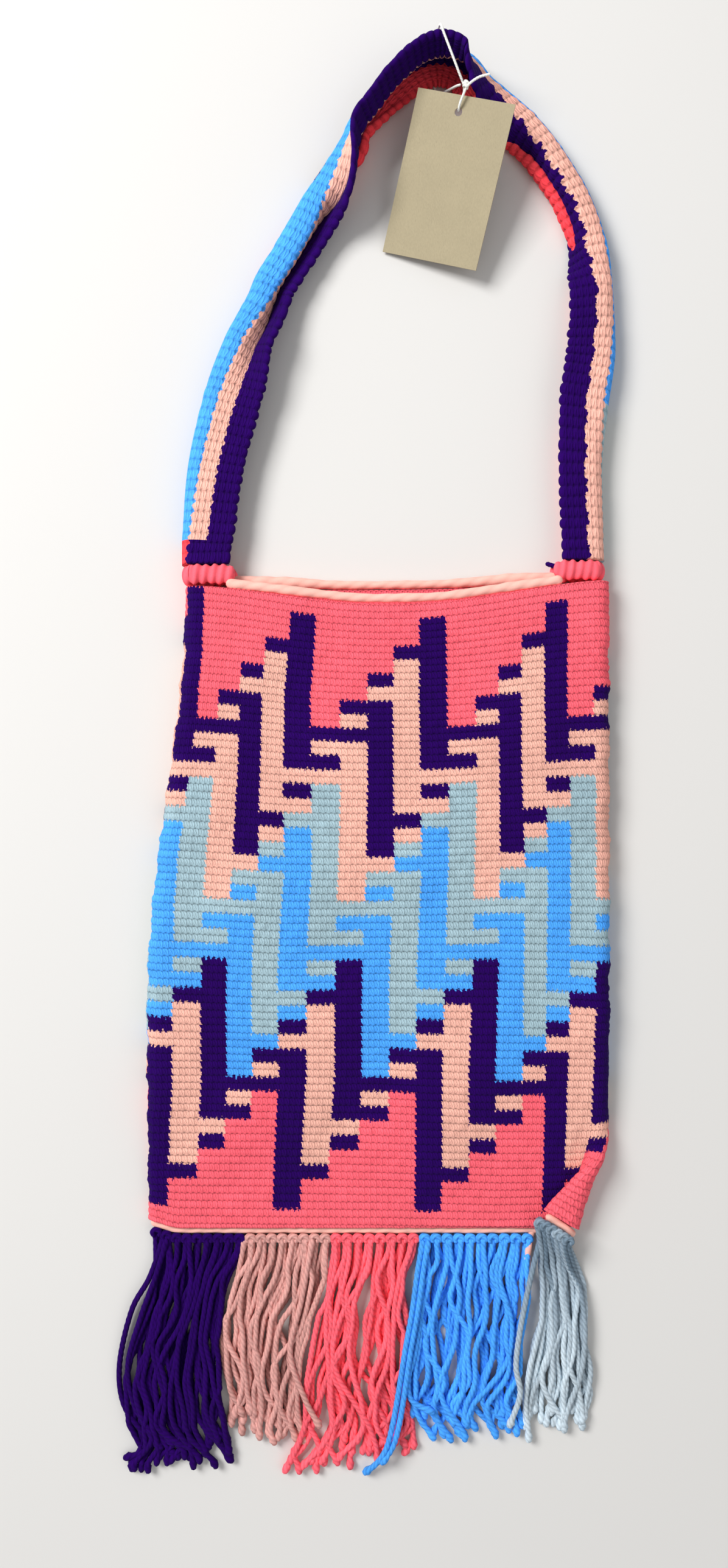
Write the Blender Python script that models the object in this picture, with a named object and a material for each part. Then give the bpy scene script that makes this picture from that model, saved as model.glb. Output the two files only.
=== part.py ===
"""A bilum: a looped-yarn shoulder bag, lying flat on its back.

Units are metres. +X runs across the bag to its right edge, +Y from the fringe to the strap, and
+Z up from the floor. The origin is the middle of the body's flat underside. The body is a loft of
flattened tube sections, open at the mouth, with one ridge for each looped row, and its lower right
corner is folded forward over the front. The strap is a band carried along its route while its
section changes from a folded C on both legs to an upright wall at the crest.
"""

import math

import bmesh
import bpy
import numpy as np
from mathutils import Matrix, Vector

# Gap between pieces that touch
SEAT_GAP = 0.0003

# Body: a flattened tube of looped yarn
BODY_LENGTH = 0.354
BASE_WIDTH = 0.2535
MOUTH_WIDTH = 0.232
BASE_CENTRE_X = -0.0035
MOUTH_CENTRE_X = 0.0070
TAPER_START = 0.35
WALL = 0.0038
BASE_THICKNESS = 0.0078
BODY_THICKNESS = 0.0163
THICKENING_END = 0.30
ROWS = 86
RIDGE = 0.0008
CAVITY_START = 0.05
CAVITY_STEPS = (1.0, 0.85, 0.65, 0.45, 0.30, 0.20, 0.12, CAVITY_START)
CAVITY_FOLD = 0.25
MOUTH_SAG = 0.0118
MOUTH_TILT = 0.0015
MOUTH_RISE_LEFT = -0.0008
BASE_CORNER_RISE = 0.004
SIDE_STEPS = 3
FRONT_COLUMNS = (0.22, 0.41, 0.60, 0.79)

# Lower right corner, folded forward over the front
FOLD_COLUMNS = (0.0285, 0.0235, 0.0185, 0.0140, 0.0100)
FOLD_BASE_X = 0.0985
FOLD_LEAN = math.radians(13.0)
FOLD_GAP = 0.0016
FOLD_CLEARANCE = 0.0008
FOLD_FULL_Y = -0.150
FOLD_END_Y = -0.108

# Edging yarn along the mouth and the base
MOUTH_EDGING_RADIUS = 0.0023
BASE_EDGING_RADIUS = 0.0016
EDGING_TAIL_RADIUS = 0.0018
EDGING_TAIL_LENGTH = 0.020

# Strap: a band of five stripes
STRAP_WIDTH = 0.050
STRAP_THICKNESS = 0.0036
STRAP_RIDGE = 0.0004
STRAP_RIDGE_PITCH = 0.0185
STRAP_BEND_RADIUS = 0.0057
STRAP_ROLL_RADIUS = 0.0027
STRAP_CREST_LIFT = 0.0019
SECTION_STEP = 0.0016

# Lashings that join the strap to the mouth
JOINT_RADIUS = 0.0032
JOINT_REACH_LEFT = 0.027
JOINT_REACH_RIGHT = 0.026

# Fringe
HEADER_RADIUS = 0.0024
LOCK_RADIUS = 0.0021
LOCK_PITCH = 0.0075

# Hang tag and its string
TAG_WIDTH = 0.054
TAG_LENGTH = 0.083
TAG_THICKNESS = 0.0008
TAG_HOLE_RADIUS = 0.0021
TAG_HOLE_X = -0.0024
TAG_HOLE_INSET = 0.0082
TAG_CENTRE = Vector((0.0340, 0.3952, 0.0176))
TAG_TURN = math.radians(-13.6)
TAG_TILT = math.radians(15.4)
TAG_ROLL = math.radians(-11.0)
STRING_RADIUS = 0.00065

# Strap route: its outer foot, as (x, y, turn of the band in degrees, length of band beyond the
# bend, curl of the purple edge and roll of the coral edge in degrees, lift), from the left end to
# the right end
STRAP_LEFT_X = -0.1115
STRAP_RIGHT_X = 0.1210
STRAP_START = (180, 0.0210, 0, 0, 0.0)
STRAP_ROUTE = (
    (-0.1113, 0.2050, 180, 0.0215, 0, 0, 0.0),
    (-0.1090, 0.2450, 180, 0.0230, 0, 0, 0.0),
    (-0.0993, 0.2850, 180, 0.0240, 0, 0, 0.0),
    (-0.0835, 0.3255, 184, 0.0195, -12, 0, 0.0),
    (-0.0714, 0.3455, 188, 0.0165, -35, 0, 0.0),
    (-0.0610, 0.3655, 184, 0.0190, -35, 0, 0.0),
    (-0.0499, 0.3860, 176, 0.0200, -30, 0, 0.0),
    (-0.0405, 0.4000, 162, 0.0215, -15, 0, 0.0),
    (-0.0330, 0.4150, 144, 0.0240, -5, 0, 0.0),
    (-0.0220, 0.4370, 122, 0.0270, 0, 0, 0.0),
    (-0.0070, 0.4550, 113, 0.0276, 0, 0, STRAP_CREST_LIFT),
    (0.0130, 0.4690, 107, 0.0276, 0, 0, STRAP_CREST_LIFT),
    (0.0310, 0.4735, 105, 0.0276, 0, 0, STRAP_CREST_LIFT),
    (0.0465, 0.4670, 107, 0.0276, 0, 0, STRAP_CREST_LIFT),
    (0.0590, 0.4560, 113, 0.0270, 0, 0, 0.0),
    (0.0730, 0.4430, 124, 0.0240, 0, 20, 0.0),
    (0.0860, 0.4320, 138, 0.0200, 0, 60, 0.0),
    (0.0980, 0.4190, 147, 0.0155, 0, 90, 0.0),
    (0.1090, 0.3990, 150, 0.0140, 0, 95, 0.0),
    (0.1175, 0.3800, 160, 0.0130, 0, 120, 0.0),
    (0.1232, 0.3600, 172, 0.0125, 0, 160, 0.0),
    (0.1255, 0.3380, 180, 0.0135, 0, 170, 0.0),
    (0.1275, 0.3050, 180, 0.0190, 0, 80, 0.0),
    (0.1245, 0.2750, 180, 0.0185, 0, 80, 0.0),
    (0.1215, 0.2450, 180, 0.0155, 0, 140, 0.0),
    (0.1208, 0.2120, 180, 0.0135, 0, 170, 0.0),
)
STRAP_FINISH = (180, 0.0130, 0, 175, 0.0)

# The string's route, chosen by hand: tail, knot, face of the card, hole, back of the card, knot,
# over the crest, down the outside and under the band, and up the inside to the knot
STRING_ROUTE = (
    (0.0545, 0.4410, 0.0362),
    (0.0490, 0.4400, 0.0352),
    (0.0437, 0.4372, 0.0330),
    (0.0412, 0.4330, 0.0309),
    (0.0398, 0.4290, 0.0288),
    (0.0396, 0.4274, 0.0256),
    (0.0402, 0.4300, 0.0240),
    (0.0416, 0.4350, 0.0258),
    (0.0420, 0.4388, 0.0290),
    (0.0388, 0.4440, 0.0335),
    (0.0340, 0.4530, 0.0378),
    (0.0302, 0.4610, 0.0398),
    (0.0290, 0.4662, 0.0396),
    (0.0281, 0.4693, 0.0345),
    (0.0272, 0.4724, 0.0220),
    (0.0268, 0.4750, 0.0098),
    (0.0270, 0.4722, 0.0034),
    (0.0274, 0.4660, 0.0010),
    (0.0280, 0.4580, 0.0009),
    (0.0288, 0.4526, 0.0011),
    (0.0306, 0.4500, 0.0042),
    (0.0348, 0.4468, 0.0130),
    (0.0382, 0.4434, 0.0220),
    (0.0400, 0.4412, 0.0268),
)

# Groups of the fringe: name, first and last x on the base, first and last x at the tips, y of the
# tips, colour
FRINGE_GROUPS = (
    ("fringe_purple", -0.1260, -0.0797, -0.1400, -0.0850, -0.3100, (0.030, 0.002, 0.115)),
    ("fringe_peach", -0.0791, -0.0296, -0.0850, -0.0440, -0.2900, (0.807, 0.402, 0.328)),
    ("fringe_coral", -0.0290, 0.0180, -0.0370, 0.0140, -0.3060, (1.000, 0.141, 0.188)),
    ("fringe_blue", 0.0186, 0.0778, 0.0200, 0.0720, -0.2880, (0.070, 0.352, 0.956)),
)
GREY_FRINGE = ("fringe_grey", 0.0820, 0.1150, -0.2870, (0.305, 0.456, 0.485))

CORAL = (1.000, 0.141, 0.188)
PALE_PEACH = (1.000, 0.546, 0.456)
PURPLE = (0.030, 0.002, 0.115)
BLUE = (0.070, 0.352, 0.956)
KRAFT = (0.402, 0.319, 0.205)
WHITE = (0.850, 0.850, 0.800)

BASE_Y = -BODY_LENGTH / 2
LAST_RING = 2 * ROWS


def material(name, colour, roughness):
    """A dielectric finish with one colour."""
    made = bpy.data.materials.new(name)
    made.use_nodes = True
    shader = made.node_tree.nodes["Principled BSDF"]
    shader.inputs["Base Color"].default_value = (*colour, 1.0)
    shader.inputs["Roughness"].default_value = roughness
    shader.inputs["Metallic"].default_value = 0.0
    return made


def add_object(collection, name, data, finish):
    """Link one named object to the collection with its material."""
    data.materials.clear()
    data.materials.append(finish)
    made = bpy.data.objects.new(name, data)
    collection.objects.link(made)
    return made


def smooth(value):
    """Rise from 0 to 1 with level ends."""
    held = np.clip(value, 0.0, 1.0)
    return held * held * (3.0 - 2.0 * held)


def half_width(t):
    """Half of the body's width at t, from the base (0) to the mouth (1)."""
    share = smooth((t - TAPER_START) / (1.0 - TAPER_START))
    return (BASE_WIDTH + (MOUTH_WIDTH - BASE_WIDTH) * share) / 2


def centre_x(t):
    """The middle of the body's width at t."""
    share = smooth((t - TAPER_START) / (1.0 - TAPER_START))
    return BASE_CENTRE_X + (MOUTH_CENTRE_X - BASE_CENTRE_X) * share


def thickness(t):
    """The body's thickness over both layers at t."""
    return BASE_THICKNESS + (BODY_THICKNESS - BASE_THICKNESS) * smooth(t / THICKENING_END)


def row_y(t, across, height_share):
    """The row's y at t. It sags in the middle of the front layer's mouth and rises at the base's
    corners."""
    sag = MOUTH_SAG * (1.0 - across ** 2) ** 2 * height_share * t ** 2
    tilt = MOUTH_TILT * across * t ** 2
    corner = BASE_CORNER_RISE * smooth((np.abs(across) - 0.86) / 0.14) * (1.0 - smooth(t / 0.08))
    return BASE_Y + BODY_LENGTH * t - sag + tilt + corner


def fold_distance(x, y):
    """How far a point lies past the fold's line."""
    line_x = FOLD_BASE_X + (y - BASE_Y) * math.tan(FOLD_LEAN)
    return (x - line_x) * math.cos(FOLD_LEAN)


def fold(points):
    """Roll what lies past the fold's line up and over the front. The roll keeps the fabric's
    length, and its radius grows to nothing felt at the top of the fold."""
    points = np.array(points, dtype=float)
    x, y, z = points[:, 0], points[:, 1], points[:, 2]
    layers = thickness((y - BASE_Y) / BODY_LENGTH)
    tight = layers / 2 + FOLD_GAP / 2
    fade = 1.0 - smooth((y - FOLD_FULL_Y) / (FOLD_END_Y - FOLD_FULL_Y))
    distance = fold_distance(x, y)
    moved = (distance > 0.0) & (fade > 0.01)
    radius = tight / np.where(fade > 0.01, fade, 1.0)
    angle = np.minimum(distance / radius, math.pi)
    beyond = np.maximum(distance - math.pi * radius, 0.0)
    height = z - layers / 2
    rolled = (radius - height) * np.sin(angle) - beyond
    raised = layers / 2 + radius - (radius - height) * np.cos(angle)
    shift = np.where(moved, rolled - distance, 0.0)
    points[:, 0] = x + shift * math.cos(FOLD_LEAN)
    points[:, 1] = y - shift * math.sin(FOLD_LEAN)
    points[:, 2] = np.where(moved, raised, z)
    return points


def column_places(t):
    """The x of each column across the front at t, from one side's bend to the other's. The fine
    columns that take the fold lie just before the last one."""
    left = centre_x(t) - half_width(t)
    right = centre_x(t) + half_width(t)
    bend = thickness(t) / 2
    inner = [left + share * (right - left) for share in FRONT_COLUMNS]
    fine = [right - inset for inset in FOLD_COLUMNS]
    return np.array([left + bend] + inner + fine + [right - bend])


def body_ring(t, inset, ridge):
    """One closed section of the body as (front, right side, back, left side) point lists."""
    x_columns = column_places(t)
    layers = thickness(t)
    radius = layers / 2 - inset
    angles = np.radians(np.linspace(90.0, -90.0, SIDE_STEPS + 1))[1:-1]
    bulge = radius + ridge * (1.0 + np.sin(angles)) / 2
    sides = []
    for end, sign in ((x_columns[-1], 1.0), (x_columns[0], -1.0)):
        side_x = end + sign * bulge * np.cos(angles)
        sides.append(np.stack([side_x, 0 * angles, layers / 2 + bulge * np.sin(angles)], axis=1))
    flat = 1.0 - smooth((fold_distance(x_columns, BASE_Y + BODY_LENGTH * t) + 0.008) / 0.006)
    front_z = layers - inset + ridge * np.where(t < THICKENING_END, flat, 1.0)
    front = np.stack([x_columns, 0 * x_columns, front_z], axis=1)
    back = np.stack([x_columns, 0 * x_columns, 0 * x_columns + inset], axis=1)
    parts = []
    for points in (front, sides[0], back[::-1], sides[1][::-1]):
        across = np.clip((points[:, 0] - centre_x(t)) / half_width(t), -1.0, 1.0)
        points[:, 1] = row_y(t, across, smooth(2 * points[:, 2] / layers - 0.5))
        parts.append(fold(points))
    return parts


def add_points(mesh, points):
    """New vertices at the points."""
    return [mesh.verts.new(point) for point in points]


def join_rings(mesh, first, second, closed=True):
    """Quads between two rings of vertices."""
    count = len(first)
    for index in range(count if closed else count - 1):
        after = (index + 1) % count
        mesh.faces.new((first[index], first[after], second[after], second[index]))


def fan(mesh, pivot, row):
    """Triangles from one vertex to a row of vertices."""
    for start, end in zip(row, row[1:]):
        mesh.faces.new((pivot, start, end))


def close_ring(mesh, front, right, back, left):
    """Close one section across its thickness."""
    columns = list(back)[::-1]
    join_rings(mesh, front, columns, closed=False)
    mesh.faces.new([front[-1]] + right + [columns[-1]])
    mesh.faces.new([columns[0]] + left + [front[0]])


def join_cavity(mesh, upper, lower, plain):
    """Join a plain section of the cavity to one with the fold's fine columns."""
    join_rings(mesh, upper[0][:plain], lower[0][:plain], closed=False)
    fan(mesh, upper[0][-2], lower[0][plain - 1:] + upper[0][-1:])
    join_rings(mesh, upper[0][-1:] + upper[1] + upper[2][:1],
               lower[0][-1:] + lower[1] + lower[2][:1], closed=False)
    fan(mesh, upper[2][1], upper[2][:1] + lower[2][:-plain + 1])
    join_rings(mesh, upper[2][1:] + upper[3] + upper[0][:1],
               lower[2][-plain:] + lower[3] + lower[0][:1], closed=False)


def build_body(collection):
    """The looped body: ridged outside, plain inside, pressed flat below."""
    mesh = bmesh.new()
    fold_end = (FOLD_END_Y - BASE_Y) / BODY_LENGTH
    fold_ring = math.ceil(fold_end * LAST_RING) + 1
    plain = len(FRONT_COLUMNS) + 1
    fine = len(FOLD_COLUMNS)
    rings = []
    for index in range(LAST_RING + 1):
        t = index / LAST_RING
        front, right, back, left = body_ring(t, 0.0, RIDGE if index % 2 else 0.0)
        if index > fold_ring:
            front = np.vstack([front[:plain], front[-1:]])
            back = np.vstack([back[:1], back[-plain:]]) if index == LAST_RING else back[[0, -1]]
        elif index > 0:
            back = np.vstack([back[:fine + 1], back[-1:]])
        rings.append([add_points(mesh, part) for part in (front, right, back, left)])
    for index, (lower, upper) in enumerate(zip(rings, rings[1:])):
        join_rings(mesh, lower[0][:plain], upper[0][:plain], closed=False)
        if index == fold_ring:
            fan(mesh, upper[0][-2], lower[0][plain - 1:] + upper[0][-1:])
        else:
            join_rings(mesh, lower[0][plain - 1:], upper[0][plain - 1:], closed=False)
        join_rings(mesh, lower[0][-1:] + lower[1] + lower[2][:1],
                   upper[0][-1:] + upper[1] + upper[2][:1], closed=False)
        join_rings(mesh, lower[2][-1:] + lower[3] + lower[0][:1],
                   upper[2][-1:] + upper[3] + upper[0][:1], closed=False)
    for lower, upper in zip(rings[:fold_ring], rings[1:fold_ring + 1]):
        join_rings(mesh, lower[2][:fine + 1], upper[2][:fine + 1], closed=False)
    fan(mesh, rings[1][2][-1], rings[1][2][fine:fine + 1] + rings[0][2][fine:])
    for lower, upper in zip(rings[1:fold_ring], rings[2:fold_ring + 1]):
        mesh.faces.new((lower[2][fine], lower[2][-1], upper[2][-1], upper[2][fine]))
    fan(mesh, rings[fold_ring + 1][2][-1],
        rings[fold_ring + 1][2][:1] + rings[fold_ring][2][:fine + 1] + rings[fold_ring][2][-1:])
    for lower, upper in zip(rings[fold_ring + 1:-2], rings[fold_ring + 2:-1]):
        mesh.faces.new((lower[2][0], lower[2][-1], upper[2][-1], upper[2][0]))
    fan(mesh, rings[-2][2][-1], rings[-1][2][::-1] + rings[-2][2][:1])
    close_ring(mesh, *rings[0])
    outer = sum(rings[LAST_RING], [])
    for t in CAVITY_STEPS:
        front, right, back, left = body_ring(t, WALL, 0.0)
        if t > CAVITY_FOLD:
            front = np.vstack([front[:plain], front[-1:]])
            back = np.vstack([back[:1], back[-plain:]])
        parts = [add_points(mesh, part) for part in (front, right, back, left)]
        inner = sum(parts, [])
        if len(inner) == len(outer):
            join_rings(mesh, outer, inner)
        else:
            before = [outer[:plain + 1], outer[plain + 1:-plain - 1 - len(left)], [], []]
            before[3] = outer[-len(left):]
            before[2] = outer[-plain - 1 - len(left):-len(left)]
            join_cavity(mesh, before, parts, plain)
        outer = inner
    close_ring(mesh, *parts)
    bmesh.ops.recalc_face_normals(mesh, faces=mesh.faces)
    data = bpy.data.meshes.new("bag_body")
    mesh.to_mesh(data)
    mesh.free()
    return add_object(collection, "bag_body", data, material("looped_yarn", CORAL, 0.9))


def spread(points, count, axes=3):
    """Points evenly spaced along a smooth curve through the given ones. The spacing is measured
    over the first axes only, and any further columns are carried along."""
    points = np.array(points, dtype=float)
    padded = np.vstack([2 * points[0] - points[1], points, 2 * points[-1] - points[-2]])
    steps = np.linspace(0.0, 1.0, 16, endpoint=False)[:, None]
    runs = []
    for before, start, end, after in zip(padded, padded[1:], padded[2:], padded[3:]):
        runs.append(0.5 * (2 * start + (end - before) * steps
                           + (2 * before - 5 * start + 4 * end - after) * steps ** 2
                           + (3 * start - before - 3 * end + after) * steps ** 3))
    fine = np.vstack(runs + [points[-1:]])
    gaps = np.linalg.norm(np.diff(fine[:, :axes], axis=0), axis=1)
    run = np.concatenate([[0.0], np.cumsum(gaps)])
    places = np.linspace(0.0, run[-1], count)
    return np.stack([np.interp(places, run, fine[:, axis]) for axis in range(fine.shape[1])], 1)


def tube_object(collection, name, points, radius, finish, resolution=1):
    """A round yarn along a route: a poly curve with a bevel and filled caps."""
    data = bpy.data.curves.new(name, "CURVE")
    data.dimensions = "3D"
    data.bevel_depth = radius
    data.bevel_resolution = resolution
    data.use_fill_caps = True
    spline = data.splines.new("POLY")
    spline.points.add(len(points) - 1)
    for target, point in zip(spline.points, points):
        target.co = (*point, 1.0)
    return add_object(collection, name, data, finish)


def as_mesh(made):
    """The object as a closed mesh, in place of its curve."""
    data = bpy.data.meshes.new_from_object(made.evaluated_get(bpy.context.evaluated_depsgraph_get()))
    mesh = bmesh.new()
    mesh.from_mesh(data)
    bmesh.ops.remove_doubles(mesh, verts=mesh.verts, dist=0.00001)
    mesh.to_mesh(data)
    mesh.free()
    name = made.name
    collection = made.users_collection[0]
    finish = made.data.materials[0]
    place = made.matrix_world.copy()
    bpy.data.objects.remove(made)
    made = add_object(collection, name, data, finish)
    made.matrix_world = place
    return made


def rim_y(x, height_share):
    """The y of the mouth's rim at x on the front (1) or the back (0), between its columns."""
    plain = len(FRONT_COLUMNS) + 1
    columns = column_places(1.0)
    columns = np.append(columns[:plain], columns[-1])
    return np.interp(x, columns, row_y(1.0, (columns - MOUTH_CENTRE_X) / (MOUTH_WIDTH / 2),
                                       height_share))


def build_mouth_edging(collection):
    """The pale yarn along each layer's rim, between the strap's ends."""
    finish = material("pale_edging_yarn", PALE_PEACH, 0.85)
    first_x = STRAP_LEFT_X + JOINT_REACH_LEFT + 0.0006
    last_x = STRAP_RIGHT_X - JOINT_REACH_RIGHT - 0.0006
    places = np.linspace(first_x, last_x, 15)
    middles = (("front", BODY_THICKNESS - WALL / 2, 1.0), ("back", MOUTH_EDGING_RADIUS, 0.0))
    for label, height, share in middles:
        y = rim_y(places, share) + 2 * SEAT_GAP + MOUTH_EDGING_RADIUS
        points = np.stack([places, y, np.full_like(places, height)], axis=1)
        tube_object(collection, "mouth_edging_" + label, points, MOUTH_EDGING_RADIUS, finish)


def base_line(first_x, last_x, count, below):
    """Points along the base from one x to another, a distance below it, before the fold."""
    places = np.linspace(first_x, last_x, count)
    across = np.clip((places - BASE_CENTRE_X) / (BASE_WIDTH / 2), -1.0, 1.0)
    y = row_y(0.0, across, 1.0) - below
    return np.stack([places, y, np.full_like(places, BASE_THICKNESS / 2)], axis=1)


def build_base_edging(collection):
    """The pale yarn along the base, which follows the fold, and its loose end."""
    finish = material("pale_base_yarn", PALE_PEACH, 0.85)
    below = 1.5 * SEAT_GAP + BASE_EDGING_RADIUS
    left = BASE_CENTRE_X - BASE_WIDTH / 2 + 0.003
    right = BASE_CENTRE_X + BASE_WIDTH / 2 - 0.003
    points = np.vstack([base_line(left, left + 0.016, 5, below),
                        base_line(left + 0.030, FOLD_BASE_X - 0.006, 6, below),
                        base_line(FOLD_BASE_X, right, 11, below + FOLD_CLEARANCE)])
    tube_object(collection, "base_edging", fold(points), BASE_EDGING_RADIUS, finish)
    start = Vector((0.0815, BASE_Y - below - BASE_EDGING_RADIUS - SEAT_GAP, 0.0))
    height = BASE_THICKNESS / 2
    tail = ((0, 0, height + 0.0006), (-0.0006, -0.004, height + 0.0002), (-0.0016, -0.009, 0.0048),
            (-0.0022, -0.014, 0.0046), (-0.0026, -EDGING_TAIL_LENGTH, 0.0046))
    points = [start + Vector(point) for point in tail]
    tube_object(collection, "edging_tail", points, EDGING_TAIL_RADIUS, finish)


def strap_section(turn, beyond, curl, roll, thick):
    """The band's outline across its width, as (out, up) points, the outer face first.

    The band starts level and outward at the coral edge, turns by `turn` at the bend and by `curl`
    more over the purple edge. A roll tucks the coral edge up and back inside, under the purple
    edge. The foot of the bend stands at out 0 and up 0."""
    length = STRAP_BEND_RADIUS * math.radians(turn)
    last = STRAP_WIDTH - beyond
    first = last - length
    roll_length = STRAP_ROLL_RADIUS * math.radians(roll)
    reach = -beyond * math.cos(math.radians(turn)) + STRAP_BEND_RADIUS - STRAP_ROLL_RADIUS - thick
    roll_last = max(first - max(reach, 0.002), roll_length)
    roll_first = roll_last - roll_length
    run = np.linspace(0.0, STRAP_WIDTH, 241)
    edge = STRAP_WIDTH * 0.24
    heading = np.radians(turn) * np.clip((run - first) / length, 0.0, 1.0)
    heading = heading + np.radians(curl) * smooth((run - STRAP_WIDTH + edge) / edge)
    if roll > 0:
        tucked = 1.0 - np.clip((run - roll_first) / roll_length, 0.0, 1.0)
        heading = heading - np.radians(roll) * tucked
    step = run[1] - run[0]
    out = np.concatenate([[0.0], np.cumsum(np.cos(heading[:-1]) * step)])
    up = np.concatenate([[0.0], np.cumsum(np.sin(heading[:-1]) * step)])
    places = [0.0]
    for place in (roll_first, (roll_first + roll_last) / 2, roll_last, first):
        places.append(max(place, places[-1] + SECTION_STEP))
    places += [first + length / 3, last - length / 3, last, STRAP_WIDTH]
    middle = np.stack([np.interp(places, run, out), np.interp(places, run, up)], axis=1)
    angle = np.interp(places, run, heading)
    normal = np.stack([np.sin(angle), -np.cos(angle)], axis=1)
    outline = np.vstack([middle + normal * thick / 2, (middle - normal * thick / 2)[::-1]])
    outline[:, 0] -= outline[:, 0].max()
    outline[:, 1] -= outline[:, 1].min()
    return outline


def strap_start_y():
    """The y at which the strap's left end leaves its lashing."""
    return BASE_Y + BODY_LENGTH + MOUTH_RISE_LEFT + 2 * JOINT_RADIUS + 2 * SEAT_GAP


def strap_finish_y():
    """The y at which the strap's right end meets its lashing."""
    return BASE_Y + BODY_LENGTH + MOUTH_TILT + 2 * JOINT_RADIUS + 2 * SEAT_GAP


def build_strap(collection):
    """The shoulder band, ridged across, from the left joint over the crest to the right joint."""
    ends = ((STRAP_LEFT_X, strap_start_y(), *STRAP_START),
            (STRAP_RIGHT_X, strap_finish_y(), *STRAP_FINISH))
    route = np.array([ends[0], *STRAP_ROUTE, ends[1]])
    fine = spread(route, 400, axes=2)
    length = np.linalg.norm(np.diff(fine[:, :2], axis=0), axis=1).sum()
    ridges = round(length / STRAP_RIDGE_PITCH)
    stations = spread(route, 2 * ridges + 1, axes=2)
    along = np.gradient(stations[:, :2], axis=0)
    along[0] = (0.0, 1.0)
    along[-1] = (0.0, -1.0)
    along /= np.linalg.norm(along, axis=1)[:, None]
    mesh = bmesh.new()
    before = None
    for index, (x, y, turn, beyond, curl, roll, lift) in enumerate(stations):
        thick = STRAP_THICKNESS + (STRAP_RIDGE if index % 2 else -STRAP_RIDGE)
        outline = strap_section(turn, beyond, curl, roll, thick)
        outward = np.array([-along[index, 1], along[index, 0]])
        level = np.array([x, y]) + outline[:, :1] * outward
        points = np.column_stack([level, outline[:, 1] + max(lift, 0.0)])
        ring = add_points(mesh, points)
        if before is None:
            first = ring
        else:
            join_rings(mesh, before, ring)
        before = ring
    for ring in (first, before):
        half = len(ring) // 2
        join_rings(mesh, ring[:half], ring[half:][::-1], closed=False)
    bmesh.ops.recalc_face_normals(mesh, faces=mesh.faces)
    data = bpy.data.meshes.new("strap")
    mesh.to_mesh(data)
    mesh.free()
    return add_object(collection, "strap", data, material("band_yarn", BLUE, 0.9))


def build_joints(collection):
    """Coral lashings, each a C round the side of the mouth, and the loose purple yarn end."""
    finish = material("coral_joint_yarn", CORAL, 0.9)
    low = JOINT_RADIUS
    high = BODY_THICKNESS - JOINT_RADIUS
    radius = (high - low) / 2
    angles = np.radians(np.linspace(-90.0, 90.0, 6))
    sides = (("left", STRAP_LEFT_X, -1.0, JOINT_REACH_LEFT, MOUTH_RISE_LEFT),
             ("right", STRAP_RIGHT_X, 1.0, JOINT_REACH_RIGHT, MOUTH_TILT))
    for label, outer_x, sign, reach, tilt in sides:
        turn_x = outer_x - sign * (JOINT_RADIUS + radius)
        y = BASE_Y + BODY_LENGTH + tilt + SEAT_GAP + JOINT_RADIUS
        inner_x = outer_x - sign * reach
        bend = [(turn_x + sign * radius * math.cos(a), y, low + radius * (1 + math.sin(a)))
                for a in angles]
        points = [(inner_x, y, low)] + bend + [(inner_x, y, high)]
        tube_object(collection, "strap_joint_" + label, points, JOINT_RADIUS, finish, resolution=2)
    y = strap_finish_y() + 0.0012
    points = ((0.0997, y, 0.0070), (0.0965, y + 0.0004, 0.0072), (0.0932, y + 0.0010, 0.0070),
              (0.0900, y + 0.0022, 0.0064))
    tube_object(collection, "yarn_tail", points, 0.0013, material("purple_yarn_end", PURPLE, 0.9))


def join_all(target, pieces):
    """Union the pieces into the target and remove them."""
    for piece in pieces:
        cut = target.modifiers.new("join", "BOOLEAN")
        cut.operation = "UNION"
        cut.object = piece
    data = bpy.data.meshes.new_from_object(
        target.evaluated_get(bpy.context.evaluated_depsgraph_get()))
    target.modifiers.clear()
    target.data = data
    for piece in pieces:
        bpy.data.objects.remove(piece)


def lock_route(start, tip, index, height):
    """One lock of the fringe: it leaves its knot, bows to one side and lies down to its tip."""
    start = Vector(start)
    tip = Vector(tip)
    side = 0.0016 * math.sin(2.1 * index)
    points = []
    for step in range(5):
        share = step / 4
        point = start.lerp(tip, share)
        point.x += side * math.sin(math.pi * share)
        settled = smooth(min(1.0, share * 2.4))
        point.z = start.z + (height - start.z) * float(settled)
        points.append(point)
    return points


def build_fringe(collection):
    """Five groups of strands. Each hangs from a row of knots, drawn as one round header."""
    below = 2 * SEAT_GAP + 2 * BASE_EDGING_RADIUS + HEADER_RADIUS
    for name, first_x, last_x, tip_first, tip_last, tip_y, colour in FRINGE_GROUPS:
        finish = material(name + "_yarn", colour, 0.9)
        header = base_line(first_x, last_x, 8, below)
        header[:, 2] = HEADER_RADIUS
        build_group(collection, name, header, tip_first, tip_last, tip_y, finish)
    name, tip_first, tip_last, tip_y, colour = GREY_FRINGE
    finish = material(name + "_yarn", colour, 0.9)
    right = BASE_CENTRE_X + BASE_WIDTH / 2 - 0.001
    header = fold(base_line(right, FOLD_BASE_X + 0.0135, 6, below + 2 * FOLD_CLEARANCE))
    build_group(collection, name, header, tip_first, tip_last, tip_y, finish)


def build_group(collection, name, header, tip_first, tip_last, tip_y, finish):
    """One colour of the fringe: its header with the locks joined on."""
    body = as_mesh(tube_object(collection, name, header, HEADER_RADIUS, finish))
    run = np.linalg.norm(np.diff(header, axis=0), axis=1).sum()
    count = max(3, round(run / LOCK_PITCH))
    shares = (np.arange(count) + 0.5) / count
    tops = spread(header, 200)[(shares * 199).astype(int)]
    locks = []
    for index, (top, share) in enumerate(zip(tops, shares)):
        tip_x = tip_first + (tip_last - tip_first) * share
        tip = (tip_x, tip_y + 0.007 * math.sin(4.3 * index + 1.0), 0.0)
        route = lock_route(top, tip, index, LOCK_RADIUS)
        lock = tube_object(collection, name + "_lock", route, LOCK_RADIUS, finish)
        locks.append(as_mesh(lock))
    join_all(body, locks)


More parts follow.
